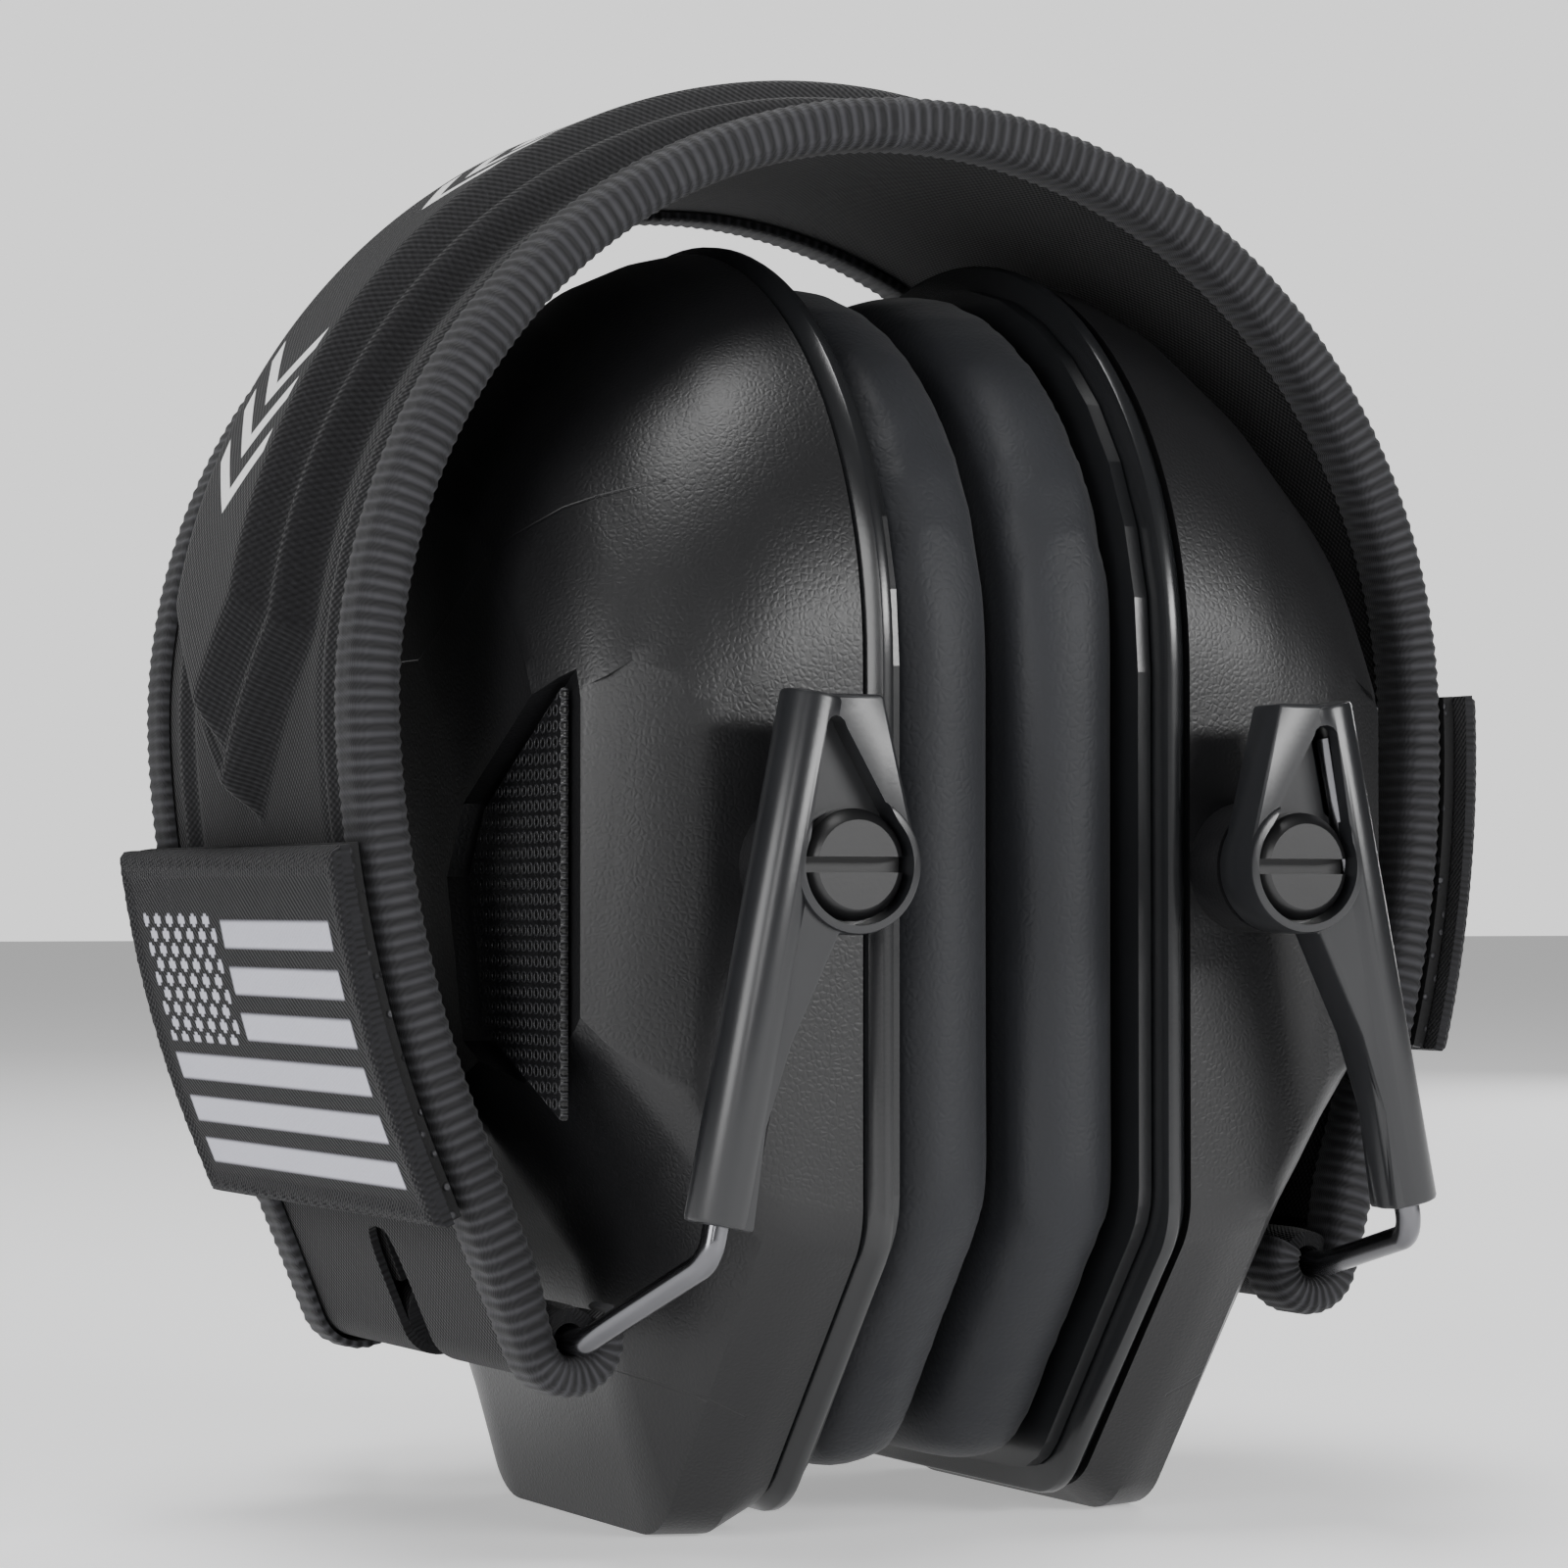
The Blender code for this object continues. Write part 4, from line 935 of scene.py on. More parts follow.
# Piping and the groove beside it: height, distance from the middle of the band and width.
PIPING = (0.55 * MM, 17.6 * MM, 0.85 * MM)
PIPING_GROOVE = (0.22 * MM, 15.7 * MM, 0.6 * MM)
PIPING_END = 92.0 * MM
PIPING_FADE = 10.0 * MM


def padding_height(along, y):
    """Height of the padding and of the piped seams over the plain cover."""
    sizes = band()
    slope = (sizes.pod_tip - sizes.pod_shoulder) / sizes.pod_half_width
    to_side = sizes.pod_half_width - abs(y)
    to_tip = (sizes.pod_tip - along - slope * abs(y)) / math.sqrt(1.0 + slope * slope)
    inside = min(to_side, to_tip)
    share, inset, width = LOWER_STEP
    height = sizes.pod_height * share * smooth_step((inside - inset) / width)
    depth, inset, width = QUILT_GROOVE
    height -= depth * hump(inside, inset, width)
    share, inset, width = UPPER_STEP
    height += sizes.pod_height * share * smooth_step((inside - inset) / width)
    fade = 1.0 - smooth_step((along - PIPING_END) / PIPING_FADE)
    rise, middle, width = PIPING
    height += rise * hump(abs(y), middle, width) * fade
    depth, middle, width = PIPING_GROOVE
    height -= depth * hump(abs(y), middle, width) * fade
    return height


class EARMUFF_OT_cover(Operator):
    """Model the fabric cover with its raised padding, one half at a time"""

    bl_idname = "earmuff.cover"
    bl_label = "Band Cover"

    def execute(self, context):
        edge = band().half_width - EDGE_INSET
        across = evenly(-edge, edge, 0.5 * MM)
        back = [(edge - (2.0 * edge) * step / 8.0, COVER_BACK) for step in range(9)]
        rings = []
        for along in evenly(0.0, flat_length() + roll_length(), 0.6 * MM):
            section = [(y, COVER_FACE - padding_height(along, y)) for y in across] + back
            rings.append(band_ring(section, along))
        master = draw_rings("cover_master", rings)
        cut_slot(master)
        lay_chart(master)
        shade(master, 80.0)
        for prefix, side in SIDES.items():
            piece = copy_to(master, prefix + "_padded_cover", side, leans=True)
            dress(piece, "band_fabric")
            attach_band(piece, prefix, prefix + "_band_cover", prefix + "_pod_pad", "crown_cover", "crown_pod_pad")
        drop(master)
        return {"FINISHED"}


class EARMUFF_OT_lining(Operator):
    """Model the lining on the inner face of the band"""

    bl_idname = "earmuff.lining"
    bl_label = "Band Lining"

    def execute(self, context):
        edge = band().half_width - EDGE_INSET
        count = 28
        inner = []
        for step in range(count + 1):
            y = edge - 2.0 * edge * step / count
            inner.append((y, LINING_BACK + LINING_SWELL * (1.0 - (y / edge) ** 2)))
        outer = [(-edge + 2.0 * edge * step / 8.0, LINING_FACE) for step in range(9)]
        rings = [band_ring(outer + inner, along) for along in evenly(0.0, flat_length() - 4.0 * MM, 1.5 * MM)]
        master = draw_rings("lining_master", rings)
        cut_slot(master)
        lay_chart(master)
        shade(master, 50.0)
        for prefix, side in SIDES.items():
            piece = copy_to(master, prefix + "_lining", side, leans=True)
            dress(piece, "liner_fabric")
            attach_band(piece, prefix, prefix + "_band_liner", "crown_liner")
        drop(master)
        return {"FINISHED"}


def tape_section():
    """Section of the folded tape at the rear edge, as (y, depth, how far a rib stands out)."""
    sizes = band()
    edge = sizes.half_width
    flange = edge - sizes.binding_flange
    depth = sizes.binding_depth
    wall = sizes.binding_wall
    corner = 1.6 * MM
    outside = [(flange, 0.25 * MM), (flange + 0.4 * MM, 0.0)]
    outside += [(y, 0.0) for y in evenly(flange + 1.4 * MM, edge - corner, 0.8 * MM)]
    for step in range(1, 5):
        turn = math.pi / 2.0 * step / 4.0
        outside.append((edge - corner + corner * math.sin(turn), corner - corner * math.cos(turn)))
    for step in range(0, 5):
        turn = math.pi / 2.0 * step / 4.0
        outside.append((edge - corner + corner * math.cos(turn), depth - corner + corner * math.sin(turn)))
    outside += [(y, depth) for y in (edge - 3.0 * MM, flange + 0.4 * MM)]
    outside.append((flange, depth - 0.25 * MM))
    section = [(y, level, 1.0) for y, level in outside]
    inside = [(flange, depth - wall), (edge - 1.4 * MM, depth - wall), (edge - wall, depth - 1.5 * MM)]
    inside += [(edge - wall, 1.5 * MM), (edge - 1.4 * MM, wall), (flange, wall)]
    return section + [(y, level, 0.0) for y, level in inside]


class EARMUFF_OT_binding(Operator):
    """Model the ribbed tape that is folded over the edges of the band"""

    bl_idname = "earmuff.binding"
    bl_label = "Edge Binding"

    def execute(self, context):
        sizes = band()
        section = tape_section()
        steps = 4
        middle_y = sizes.half_width - 3.0 * MM
        centre_depth = sizes.binding_depth / 2.0
        total = flat_length() + roll_length()
        fade_length = 8.0 * MM
        ribs = round(total / sizes.rib_pitch)
        rings = []
        for index in range(ribs * steps + 1):
            along = total * index / (ribs * steps)
            near_roll = smooth_step((along - flat_length() + fade_length) / fade_length)
            thin = 1.0 - 0.22 * near_roll
            phase = 0.5 - 0.5 * math.cos(2.0 * math.pi * index / steps)
            swell = sizes.rib_height * (phase - 0.5)
            ring = []
            for y, level, out in section:
                away = Vector((y - middle_y, level - centre_depth))
                away = away.normalized() * swell * out
                slant = 0.45 * MM * (y - middle_y) / (3.0 * MM) * min(1.0, along / (4.0 * MM))
                slant *= 1.0 - near_roll
                spot = fabric_spot(along + slant, (level + away.y) * thin)
                ring.append(Vector((spot.x, y + away.x, MIDDLE_Z + spot.y)))
            rings.append(ring)
        master = draw_rings("binding_master", rings)
        lay_chart(master)
        shade(master, 60.0)
        for prefix, side in SIDES.items():
            for end_name, end in ENDS.items():
                piece = copy_to(master, f"{prefix}_{end_name}_binding", side, end, leans=True)
                dress(piece, "binding_tape")
                nodes = (f"{prefix}_binding_{end_name}", "crown_binding_" + end_name)
                attach_band(piece, prefix, *nodes)
        drop(master)
        return {"FINISHED"}


class EARMUFF_OT_band_end(Operator):
    """Model the stitched cores of the rolled band ends, with the wire's tunnel"""

    bl_idname = "earmuff.band_end"
    bl_label = "Rolled Ends"

    def execute(self, context):
        set_pair(self.make_roll(), "rolled_end", "plain_fabric", "end_loop", "band", leans=True)
        return {"FINISHED"}

    def make_roll(self):
        """The core of the roll, cut by the notch in its middle."""
        centre = loop_centre()
        half = band().half_width - 1.6 * MM
        rings = []
        for y in evenly(-half, half, 2.0 * MM):
            radius = 2.85 * MM - 0.25 * MM * hump(abs(y), half, 1.5 * MM)
            ring = []
            for turn in turns(32):
                spot = centre + Vector((math.cos(turn), math.sin(turn))) * radius
                ring.append(Vector((spot.x, y, MIDDLE_Z + spot.y)))
            rings.append(ring)
        roll = draw_rings("roll_master", rings)
        past = 30.0 * MM
        start = (centre.x, -past, MIDDLE_Z + centre.y)
        carve(roll, round_bar("tunnel", start, (centre.x, past, start[2]), TUNNEL_RADIUS))
        cut_slot(roll)
        lay_chart(roll)
        shade(roll, 45.0)
        return roll


class EARMUFF_OT_patches(Operator):
    """Model the embroidered patches and their hook-tape backing"""

    bl_idname = "earmuff.patches"
    bl_label = "Patches"

    def execute(self, context):
        sizes = band()
        for prefix, side in SIDES.items():
            start = sizes.patch_start + (sizes.left_patch_shift if prefix == "left" else sizes.right_patch_shift)
            half = sizes.patch_half_width
            patch = self.make_layer("patch_master", start, 1.65 * MM, 1.3 * MM, half, True)
            backing = self.make_layer("backing_master", start, 0.35 * MM, 1.0 * MM, half - 1.5 * MM, False)
            top = copy_to(patch, prefix + "_embroidered_patch", side, leans=True)
            dress(top, "patch_cloth")
            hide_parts(prefix + "_patch")
            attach(top, "band_" + prefix)
            under = copy_to(backing, prefix + "_patch_hook_tape", side, leans=True)
            dress(under, "hook_tape")
            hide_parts(prefix + "_patch_backing")
            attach(under, "band_" + prefix)
            drop(patch)
            drop(backing)
        return {"FINISHED"}

    def make_layer(self, name, low, lift, thickness, half, bordered):
        """A layer that follows the side of the band, with a raised stitched border if wanted."""
        high = low + band().patch_height
        across = evenly(-half, half, 0.45 * MM)
        under = [(half - 2.0 * half * step / 8.0, -lift) for step in range(9)]
        rings = []
        for along in evenly(low, high, 0.45 * MM):
            section = []
            for y in across:
                inset = min(half - abs(y), along - low, high - along)
                rise = 0.0
                if bordered:
                    rise = -0.55 * MM * (1.0 - smooth_step(inset / (0.5 * MM)))
                    rise += 0.28 * MM * hump(inset, 1.15 * MM, 0.65 * MM)
                    stitch = math.sin((along - y) * 2.0 * math.pi / (1.1 * MM))
                    rise += 0.07 * MM * stitch * hump(inset, 1.0 * MM, 0.7 * MM)
                section.append((y, -lift - thickness - rise))
            rings.append(band_ring(section + under, along))
        layer = draw_rings(name, rings)
        lay_chart(layer)
        for corner in layer.data.uv_layers["cloth"].data:
            corner.uv.x -= low - band().patch_start
        shade(layer, 50.0)
        return layer


# ---------------------------------------------------------------- cups


def cup_outline(half_width, top, shoulder, foot_half, foot, rounding=7.0 * MM):
    """Cup outline as (y, z): a half-round top, straight sides and a tapered, rounded foot."""
    steps = cup().curve_steps
    centre = top - half_width
    points = []
    for step in range(steps + 1):
        turn = math.pi * step / steps
        points.append(Vector((half_width * math.cos(turn), centre + half_width * math.sin(turn))))
    points += evenly_between(points[-1], Vector((-half_width, shoulder)), 5, rounding)
    corners = [
        Vector((-half_width, centre)),
        Vector((-half_width, shoulder)),
        Vector((-foot_half, foot)),
        Vector((foot_half, foot)),
        Vector((half_width, shoulder)),
        Vector((half_width, centre)),
    ]
    for before, corner, after in zip(corners, corners[1:], corners[2:]):
        points += corner_arc(before, corner, after, rounding, 8)
    points += evenly_between(points[-1], points[0], 5, 0.0)
    return points


def evenly_between(start, end, count, margin):
    """Points strictly between two points, kept a margin away from the second."""
    direction = (end - start).normalized()
    last = end - direction * margin * 0.6
    return [start.lerp(last, step / (count + 1)) for step in range(1, count + 1)]


def corner_arc(before, corner, after, radius, steps):
    """Points of an arc that rounds a corner."""
    back = (before - corner).normalized()
    ahead = (after - corner).normalized()
    half = back.angle(ahead) / 2.0
    middle = corner + (back + ahead).normalized() * radius / math.sin(half)
    start = corner + back * radius / math.tan(half)
    end = corner + ahead * radius / math.tan(half)
    arc = []
    for step in range(steps + 1):
        guess = start.lerp(end, step / steps) - middle
        arc.append(middle + guess.normalized() * radius)
    return arc


def rim_line(inset):
    """The rim's outline drawn in by an inset."""
    return cup_outline(
        RIM_HALF_WIDTH - inset,
        RIM_TOP_ABOVE_MIDDLE - inset,
        -31.0 * MM + inset * 0.6,
        19.0 * MM - inset * 0.4,
        -54.8 * MM + inset,
    )


def ear_line(inset):
    """The outline of the opening for the ear, drawn in by an inset."""
    return cup_outline(
        19.0 * MM - inset,
        30.0 * MM - inset,
        -20.0 * MM + inset * 0.5,
        9.0 * MM - inset * 0.5,
        -33.0 * MM + inset,
        5.0 * MM,
    )


def across_cup(outline, x):
    """Place an outline of (y, z) points at a distance x on the right."""
    return [Vector((x, point[0], MIDDLE_Z + point[1])) for point in outline]


# Distance from the middle, then half width, top, shoulder, foot half width and foot.
SHELL_STATIONS = (
    (15.3 * MM, 37.4 * MM, 52.9 * MM, -30.5 * MM, 18.6 * MM, -54.3 * MM),
    (19.0 * MM, 37.2 * MM, 52.0 * MM, -30.0 * MM, 18.0 * MM, -56.5 * MM),
    (23.5 * MM, 37.0 * MM, 50.0 * MM, -29.0 * MM, 16.5 * MM, -56.5 * MM),
    (30.0 * MM, 36.2 * MM, 45.0 * MM, -21.0 * MM, 15.5 * MM, -33.5 * MM),
    (36.0 * MM, 35.0 * MM, 38.5 * MM, -14.0 * MM, 13.0 * MM, -24.0 * MM),
    (40.0 * MM, 31.5 * MM, 31.5 * MM, -11.0 * MM, 11.0 * MM, -19.0 * MM),
)


def shell_sizes(x):
    """Outline sizes of the shell at a distance from the middle, between its stations."""
    for near, far in zip(SHELL_STATIONS, SHELL_STATIONS[1:]):
        if x <= far[0] + 1e-9:
            share = (x - near[0]) / (far[0] - near[0])
            return [a + (b - a) * share for a, b in zip(near[1:], far[1:])]
    return list(SHELL_STATIONS[-1][1:])


class EARMUFF_OT_shells(Operator):
    """Model the moulded cup shells with their facets, recesses and pivot bosses"""

    bl_idname = "earmuff.shells"
    bl_label = "Cup Shells"

    def execute(self, context):
        levels = [15.3, 15.7, 17.0, 19.0, 21.0, 23.5, 25.5, 27.5, 30.0, 32.0, 34.0, 36.0, 37.3, 38.6, 39.5, 40.0]
        rings = []
        for level in levels:
            x = level * MM
            sizes = shell_sizes(x)
            edge = 0.9 * MM * smooth_step((x - 38.6 * MM) / (1.4 * MM))
            sizes[0] -= edge
            sizes[1] -= edge
            rings.append(across_cup(cup_outline(*sizes), x))
        shell = draw_rings("shell_master", rings)
        for end in ENDS.values():
            boss = pivot_bar("boss", end * 34.8 * MM, end * 41.7 * MM, 5.4 * MM)
            carve(shell, boss, "UNION")
        cavity = []
        straight = 22.0
        for level in (10.0, straight, 29.0, 35.5):
            depth = max(0.0, level - straight) * MM
            sizes = (
                34.8 * MM - depth * 0.45,
                47.6 * MM - depth * 1.25,
                -25.0 * MM + depth * 1.2,
                13.5 * MM - depth * 0.3,
                -46.0 * MM + depth * 1.9,
            )
            cavity.append(across_cup(cup_outline(*sizes, 5.0 * MM), level * MM))
        carve(shell, draw_rings("cavity", cavity))
        for end in ENDS.values():
            self.cut_flank(shell, end)
            self.cut_recess(shell, end)
            carve(shell, pivot_bar("bore", end * 32.0 * MM, end * 42.7 * MM, PIN_BORE_RADIUS))
        shade(shell, 28.0)
        set_pair(shell, "moulded_shell", "shell_plastic", "cup_shell", "cup")
        return {"FINISHED"}

    def cut_flank(self, shell, end):
        """Slant the flank beside a recess, with slanted top and bottom lines."""
        near = 29.0 * MM
        width = 14.0 * MM
        far = 43.0 * MM
        section = ((near, 36.6 * MM), (near, 40.0 * MM), (far, 40.0 * MM), (far, 29.0 * MM))
        rings = []
        for height, rise in ((-24.0 * MM, -3.0 * MM), (18.5 * MM, 8.5 * MM)):
            ring = []
            for x, y in section:
                share = (x - near) / width
                ring.append(Vector((x, end * y, MIDDLE_Z + height - rise * share)))
            rings.append(ring)
        carve(shell, draw_rings("flank", rings))

    def cut_recess(self, shell, end):
        """Sink the recess that holds a grille."""
        corners = ((-40, -27.5), (-33, -23.6), (-13.5, -15), (-10, -1.5), (-13.5, 4.5), (-33, 16), (-40, 20.5))
        outline = [(-end * y * MM, MIDDLE_Z + z * MM) for y, z in corners]
        carve(shell, prism("recess", outline, 37.6 * MM, 45.0 * MM, "x"))


class EARMUFF_OT_rims(Operator):
    """Model the smooth rims that close the shells"""

    bl_idname = "earmuff.rims"
    bl_label = "Cup Rims"

    def execute(self, context):
        inner = cup().rim_inner
        outer = cup().rim_outer
        land = 8.0 * MM
        round_over = 0.45 * MM
        chamfer = 1.25 * MM
        profile = (
            (inner, land),
            (inner, round_over),
            (inner + round_over * 0.3, round_over * 0.3),
            (inner + round_over, 0.0),
            (outer - chamfer, 0.0),
            (outer - 1.15 * MM, 0.04 * MM),
            (outer - 0.1 * MM, 1.1 * MM),
            (outer, chamfer),
            (outer, land),
        )
        rings = [across_cup(rim_line(inset), x) for x, inset in profile]
        rim = draw_rings("rim_master", rings, closed=True)
        shade(rim, 40.0)
        set_pair(rim, "polished_rim", "rim_plastic", "cup_rim", "cup")
        return {"FINISHED"}


class EARMUFF_OT_cushions(Operator):
    """Model the ear cushions, swell them with a cloth simulation and sew their seam"""

    bl_idname = "earmuff.cushions"
    bl_label = "Ear Cushions"

    swell_limit: length("Swell limit", "How far a point of the cushion may move", 0.9 * MM)

    def execute(self, context):
        face = cup().cushion_face
        back = cup().cushion_back
        profile = (
            (back, 4.2 * MM, -0.6 * MM),
            (back - 1.2 * MM, 3.3 * MM, 0.2 * MM),
            (back - 4.0 * MM, 3.0 * MM, 0.3 * MM),
            (face + 4.4 * MM, 3.1 * MM, 0.2 * MM),
            (face + 2.2 * MM, 3.7 * MM, -0.6 * MM),
            (face + 0.9 * MM, 5.0 * MM, -2.0 * MM),
            (face + 0.45 * MM, 7.0 * MM, -4.4 * MM),
        )
        rings = [across_cup(rim_line(inset), x) for x, inset, _hole in profile]
        cushion = draw_rings("cushion_master", rings)
        levels = [(back + 1.0 * MM, profile[0][2])]
        levels += [(x, hole) for x, _inset, hole in profile]
        levels += [(face - 1.0 * MM, profile[-1][2])]
        carve(cushion, draw_rings("ear_hole", [across_cup(ear_line(hole), x) for x, hole in levels]))
        self.swell(cushion)
        apply(cushion, "SUBSURF", levels=1, render_levels=1)
        self.sew(cushion)
        shade(cushion, 80.0)
        for piece in set_pair(cushion, "soft_cushion", "cushion_skin", "cushion", "cup"):
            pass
        return {"FINISHED"}

    def swell(self, cushion):
        """Remesh the cushion, blow it up as cloth and keep each point near its start."""
        apply(cushion, "REMESH", mode="VOXEL", voxel_size=2.2 * MM)
        start = [vertex.co.copy() for vertex in cushion.data.vertices]
        pick(cushion)
        cloth = cushion.modifiers.new("cloth", "CLOTH")
        cloth.settings.use_pressure = True
        cloth.settings.uniform_pressure_force = 4.0
        cloth.settings.effector_weights.gravity = 0.0
        frames = 20
        cloth.point_cache.frame_start = 1
        cloth.point_cache.frame_end = frames
        scene = bpy.context.scene
        for number in range(1, frames + 1):
            scene.frame_set(number)
        bpy.ops.object.modifier_apply(modifier=cloth.name)
        scene.frame_set(1)
        limit = self.swell_limit
        for vertex, origin in zip(cushion.data.vertices, start):
            move = vertex.co - origin
            if move.length > limit:
                move = move.normalized() * limit
            spot = origin + move
            spot.x = min(max(spot.x, cup().cushion_face), cup().cushion_back)
            vertex.co = spot

    def sew(self, cushion):
        """Sink a fine seam round the cushion's outer side."""
        seam = cup().cushion_back - 1.5 * MM
        for vertex in cushion.data.vertices:
            point = vertex.co
            outwards = Vector((0.0, point.y, point.z - MIDDLE_Z))
            if outwards.length > 30.0 * MM:
                vertex.co = point - outwards.normalized() * 0.25 * MM * hump(point.x, seam, 0.45 * MM)


class EARMUFF_OT_grilles(Operator):
    """Model the perforated plates in the recesses"""

    bl_idname = "earmuff.grilles"
    bl_label = "Grilles"

    def execute(self, context):
        corners = ((30.5, -21.0), (30.5, 13.5), (14.6, 4.0), (11.4, -1.5), (14.6, -14.0))
        outline = [(y * MM, MIDDLE_Z + z * MM) for y, z in corners]
        plate = prism("grille_master", outline, 37.9 * MM, 38.7 * MM, "x")
        soften(plate, 0.25 * MM)
        shade(plate, 30.0)
        set_four(plate, "ring_grille", "grille_plastic", "grille", "cup")
        return {"FINISHED"}


class EARMUFF_OT_pins(Operator):
    """Model the slotted pivot pins"""

    bl_idname = "earmuff.pins"
    bl_label = "Pivot Pins"

    def execute(self, context):
        radius = cup().pin_head
        shank = 2.35 * MM
        under_head = 45.0 * MM
        x = PIVOT_OUT
        z = MIDDLE_Z + PIVOT_UP
        profile = (
            (shank, 34.0 * MM),
            (shank, under_head),
            (radius, under_head),
            (radius, 46.0 * MM),
            (radius - 0.12 * MM, 46.2 * MM),
            (radius - 0.75 * MM, 46.85 * MM),
            (radius - 0.9 * MM, 46.95 * MM),
        )
        rings = []
        for size, y in profile:
            rings.append([Vector((x + size * math.cos(turn), y, z + size * math.sin(turn))) for turn in turns(64)])
        pin = draw_rings("pin_master", rings)
        half = 0.62 * MM
        past = 6.0 * MM
        corners = [(x - past, z - half), (x + past, z - half), (x + past, z + half), (x - past, z + half)]
        carve(pin, prism("slot", corners, 45.3 * MM, 48.0 * MM, "y"))
        shade(pin, 22.0)
        set_four(pin, "slotted_pin", "pin_plastic", "pivot_pin", "cup")
        return {"FINISHED"}


# ---------------------------------------------------------------- sleeves and forks


def leg_spot(distance):
    """Point (x, z) on the right wire leg at a distance up from its bend."""
    tilt = cup().leg_tilt
    return Vector((32.3 * MM - math.sin(tilt) * distance, -31.2 * MM + math.cos(tilt) * distance))


class EARMUFF_OT_sleeves(Operator):
    """Model the sliding sleeves with their tube, pivot collar and teardrop groove"""

    bl_idname = "earmuff.sleeves"
    bl_label = "Sleeves"

    def execute(self, context):
        pivot = Vector((PIVOT_OUT, PIVOT_UP))
        top = 12.6 * MM
        top_reach = (12.6 + 31.2) * MM / math.cos(cup().leg_tilt)
        upper = leg_spot(top_reach)
        lower = leg_spot(top_reach - cup().sleeve_length)
        outline = [Vector((upper.x, top)), Vector((pivot.x - 2.4 * MM, top))]
        for step in range(17):
            turn = math.radians(165.0 + 7.5 * step)
            outline.append(pivot + Vector((math.cos(turn), math.sin(turn))) * cup().collar)
        outline += [lower + Vector((-5.6 * MM, 14.0 * MM)), lower + Vector((-3.4 * MM, 7.5 * MM))]
        outline += [lower + Vector((-2.3 * MM, -0.5 * MM)), lower]
        corners = [(p.x, MIDDLE_Z + p.y) for p in outline]
        sleeve = prism("sleeve_master", corners, 42.5 * MM, 46.7 * MM, "y")
        soften(sleeve, 0.35 * MM, 30.0)
        self.add_tube(sleeve, lower, upper)
        collar = pivot_bar("collar", 42.1 * MM, 47.2 * MM, cup().collar - 0.05 * MM, 64)
        soften(collar, 0.3 * MM, 60.0)
        carve(sleeve, collar, "UNION")
        self.cut_teardrop(sleeve, pivot)
        carve(sleeve, pivot_bar("well", 44.6 * MM, 49.0 * MM, 4.75 * MM, 64))
        carve(sleeve, pivot_bar("through", 41.0 * MM, 49.0 * MM, PIN_BORE_RADIUS, 40))
        shade(sleeve, 32.0)
        set_four(sleeve, "sliding_sleeve", "sleeve_plastic", "sleeve", "slider")
        return {"FINISHED"}

    def add_tube(self, sleeve, lower, upper):
        """Join the round tube, open at its foot for the wire."""
        y = cup().leg_y
        start = Vector((lower.x, y, MIDDLE_Z + lower.y))
        end = Vector((upper.x, y, MIDDLE_Z + upper.y))
        tube = round_bar("tube", start, end, cup().tube_radius, 48)
        soften(tube, 0.35 * MM, 60.0)
        carve(sleeve, tube, "UNION")
        direction = (end - start).normalized()
        bore = round_bar("bore", start - direction * 2.0 * MM, end - direction * 0.8 * MM, TUNNEL_RADIUS, 32)
        carve(sleeve, bore)

    def cut_teardrop(self, sleeve, pivot):
        """Sink the pointed groove above the pivot's collar."""
        corners = []
        apex = pivot + Vector((1.9 * MM, 10.6 * MM))
        for step in range(7):
            turn = math.radians(-5.0 + 30.0 * step)
            corners.append(apex + Vector((math.cos(turn), math.sin(turn))) * 1.0 * MM)
        for step in range(9):
            turn = math.radians(150.0 - 17.0 * step)
            corners.append(pivot + Vector((math.cos(turn), math.sin(turn))) * 4.6 * MM)
        outline = [(p.x, MIDDLE_Z + p.y) for p in corners]
        carve(sleeve, prism("teardrop", outline, 44.6 * MM, 48.0 * MM, "y"))


class EARMUFF_OT_forks(Operator):
    """Model the bent wires that fold in the band ends"""

    bl_idname = "earmuff.forks"
    bl_label = "Wire Forks"

    def execute(self, context):
        for prefix, side in SIDES.items():
            half = self.half_path(side, joint_spot(prefix + "_fold"))
            rear = [Vector((point.x, -point.y, point.z)) for point in reversed(half)]
            rings = self.sweep(half + rear[1:])
            piece = draw_rings(prefix + "_plated_wire", rings)
            shade(piece, 60.0)
            dress(piece, "wire_steel")
            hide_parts(prefix + "_wire_fork")
            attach(piece, "fork_" + prefix)
        return {"FINISHED"}

    def half_path(self, side, hinge):
        """Points of the front half of a wire, from its free end to the middle of its tunnel."""
        y = cup().leg_y
        points = []
        for distance in (cup().leg_length, 0.0):
            spot = leg_spot(distance)
            points.append(Vector((MIDDLE_X + side * spot.x, -y, MIDDLE_Z + spot.y)))
        points.append(Vector((hinge.x, -27.4 * MM, hinge.z)))
        points.append(Vector((hinge.x, 0.0, hinge.z)))
        path = [points[0]] + [points[0].lerp(points[1], step / 6.0) for step in range(1, 6)]
        for before, corner, after in zip(points, points[1:], points[2:]):
            path += corner_arc(before, corner, after, 2.6 * MM, 8)
        return path + [points[-1]]

    def sweep(self, path):
        """Rings of the wire round its path, carried along without twist."""
        radius = cup().wire_radius
        direction = (path[1] - path[0]).normalized()
        across = direction.cross(Vector((0.0, 1.0, 0.0))).normalized()
        rings = []
        for index, point in enumerate(path):
            ahead = path[min(index + 1, len(path) - 1)] - path[max(index - 1, 0)]
            turned = ahead.normalized()
            across = (across - turned * across.dot(turned)).normalized()
            up = turned.cross(across)
            rings.append([point + (across * math.cos(turn) + up * math.sin(turn)) * radius for turn in turns(24)])
        return rings


# ---------------------------------------------------------------- finishes of the carried-over nodes


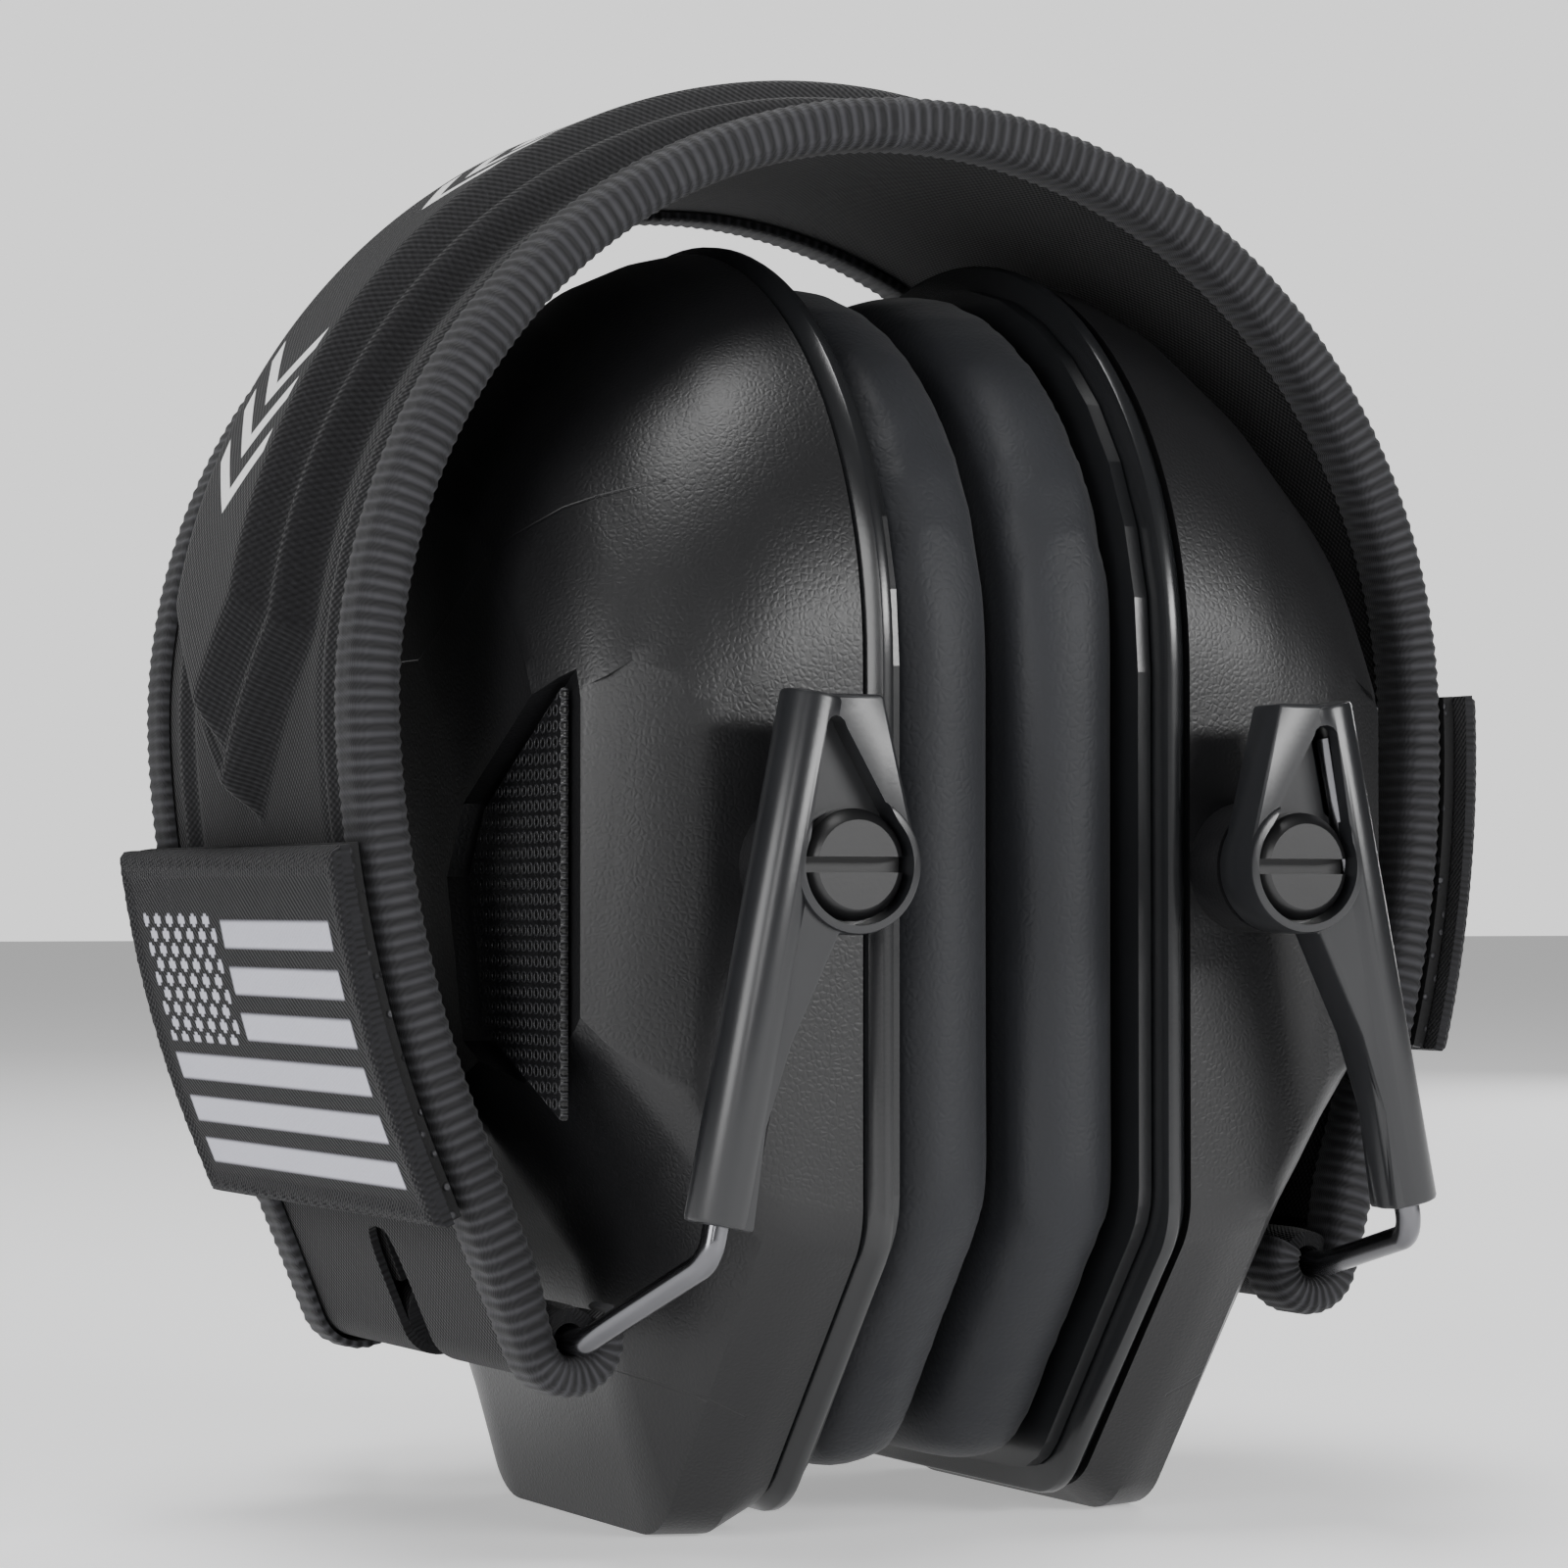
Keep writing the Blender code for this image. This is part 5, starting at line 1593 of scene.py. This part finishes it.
class EARMUFF_OT_carried(Operator):
    """Give the CAD nodes that stay visible their finishes"""

    bl_idname = "earmuff.carried"
    bl_label = "Inner Parts"

    def execute(self, context):
        finishes = {"crown_spring": "spring_steel"}
        for prefix in SIDES:
            finishes[prefix + "_spring_strip"] = "spring_steel"
            finishes[prefix + "_cushion_ring"] = "rim_plastic"
            finishes[prefix + "_acoustic_foam"] = "foam"
        for name, finish in finishes.items():
            node = frame["nodes"][name]
            node.data.materials.clear()
            node.data.materials.append(finish_named(finish))
        return {"FINISHED"}


# ---------------------------------------------------------------- stage


class EARMUFF_OT_stage(Operator):
    """Set the pale floor, the soft lights and the camera"""

    bl_idname = "earmuff.stage"
    bl_label = "Stage"

    camera_yaw: angle("Camera yaw", "Turn of the camera to the right", 26.4)
    camera_pitch: angle("Camera pitch", "Tilt of the camera upwards", 1.5)
    camera_lens: FloatProperty(name="Lens", description="Focal length on a 36 mm sensor", default=105.6)

    def execute(self, context):
        self.make_floor()
        self.make_world()
        self.make_camera()
        middle = Vector((MIDDLE_X, 0.0, MIDDLE_Z))
        lamps = (
            ("key_strip", (0.45, -0.87, 0.30), (0.55, 0.17), 7.0),
            ("overhead", (-0.10, 0.05, 0.90), (0.7, 0.35), 8.0),
            ("left_wall", (-0.88, -0.42, 0.12), (0.40, 0.80), 7.0),
            ("back_strip", (0.70, 0.55, 0.35), (0.10, 0.7), 3.0),
            ("front_fill", (-0.62, -0.90, 0.30), (0.12, 0.5), 2.0),
        )
        for name, place, size, power in lamps:
            self.make_lamp(name, middle, Vector(place), size, power)
        return {"FINISHED"}

    def make_floor(self):
        """A wide pale floor."""
        deselect()
        bpy.ops.mesh.primitive_plane_add(size=12.0, location=(0.0, 0.0, -0.05 * MM))
        floor = bpy.context.object
        floor.name = "floor"
        bpy.ops.object.transform_apply(location=True, rotation=True, scale=True)
        finish = Finish("pale_floor")
        finish.set(Base_Color=(0.86, 0.86, 0.87), Roughness=0.7, Specular_IOR_Level=0.2)
        finish.set(Emission_Color=(1.0, 1.0, 1.0), Emission_Strength=0.42)
        floor.data.materials.append(finish.material)

    def make_world(self):
        """A faint light from all round, with a pale backdrop that only the camera sees."""
        world = bpy.data.worlds.new("studio")
        world.use_nodes = True
        tree = world.node_tree
        room = tree.nodes["Background"]
        room.inputs["Color"].default_value = (1.0, 1.0, 1.0, 1.0)
        room.inputs["Strength"].default_value = 0.05
        backdrop = tree.nodes.new("ShaderNodeBackground")
        backdrop.inputs["Color"].default_value = (1.0, 1.0, 1.0, 1.0)
        backdrop.inputs["Strength"].default_value = 1.3
        seen = tree.nodes.new("ShaderNodeLightPath")
        mix = tree.nodes.new("ShaderNodeMixShader")
        tree.links.new(seen.outputs["Is Camera Ray"], mix.inputs["Fac"])
        tree.links.new(room.outputs["Background"], mix.inputs[1])
        tree.links.new(backdrop.outputs["Background"], mix.inputs[2])
        tree.links.new(mix.outputs["Shader"], tree.nodes["World Output"].inputs["Surface"])
        bpy.context.scene.world = world

    def make_lamp(self, name, target, offset, size, power):
        """An area light that faces the cups' middle."""
        data = bpy.data.lights.new(name, "AREA")
        data.shape = "RECTANGLE"
        data.size, data.size_y = size
        data.energy = power
        lamp = bpy.data.objects.new(name, data)
        bpy.context.scene.collection.objects.link(lamp)
        lamp.location = target + offset
        lamp.rotation_euler = (-offset).to_track_quat("-Z", "Y").to_euler()

    def make_camera(self):
        """The camera, level with the cups and to their left."""
        data = bpy.data.cameras.new("camera")
        data.lens = self.camera_lens
        data.sensor_width = 36.0
        camera = bpy.data.objects.new("camera", data)
        bpy.context.scene.collection.objects.link(camera)
        camera.location = (MIDDLE_X - 184.75 * MM, -364.54 * MM, MIDDLE_Z - 3.8 * MM)
        camera.rotation_euler = (math.pi / 2.0 + self.camera_pitch, 0.0, -self.camera_yaw)
        bpy.context.scene.camera = camera


# ---------------------------------------------------------------- panel and registration


class EARMUFF_PT_panel(Panel):
    """Lists the sizes, the colours and the steps"""

    bl_label = "Earmuff"
    bl_idname = "EARMUFF_PT_panel"
    bl_space_type = "VIEW_3D"
    bl_region_type = "UI"
    bl_category = "Earmuff"

    def draw(self, context):
        for group in (band(), cup(), colours()):
            box = self.layout.box()
            box.label(text=group.bl_rna.name)
            for name in group.__annotations__:
                box.prop(group, name)
        for step in STEPS:
            self.layout.operator(step.bl_idname)


STEPS = (
    EARMUFF_OT_cover,
    EARMUFF_OT_lining,
    EARMUFF_OT_binding,
    EARMUFF_OT_band_end,
    EARMUFF_OT_patches,
    EARMUFF_OT_shells,
    EARMUFF_OT_rims,
    EARMUFF_OT_cushions,
    EARMUFF_OT_grilles,
    EARMUFF_OT_pins,
    EARMUFF_OT_sleeves,
    EARMUFF_OT_forks,
    EARMUFF_OT_carried,
    EARMUFF_OT_stage,
)
GROUPS = {
    "earmuff_band": EarmuffBandSizes,
    "earmuff_cup": EarmuffCupSizes,
    "earmuff_colours": EarmuffColours,
}


def register():
    """Register the classes and add the settings to the scene."""
    for item in (*GROUPS.values(), *STEPS, EARMUFF_PT_panel):
        bpy.utils.register_class(item)
    for name, group in GROUPS.items():
        setattr(bpy.types.Scene, name, PointerProperty(type=group))


def unregister():
    """Remove the settings and the classes."""
    for name in GROUPS:
        delattr(bpy.types.Scene, name)
    for item in (EARMUFF_PT_panel, *reversed(STEPS), *reversed(list(GROUPS.values()))):
        bpy.utils.unregister_class(item)


def main():
    """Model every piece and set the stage."""
    register()
    for step in STEPS:
        module, name = step.bl_idname.split(".")
        result = getattr(getattr(bpy.ops, module), name)()
        if result != {"FINISHED"}:
            raise RuntimeError("the step " + step.bl_label + " did not finish")


if __name__ == "__main__":
    main()
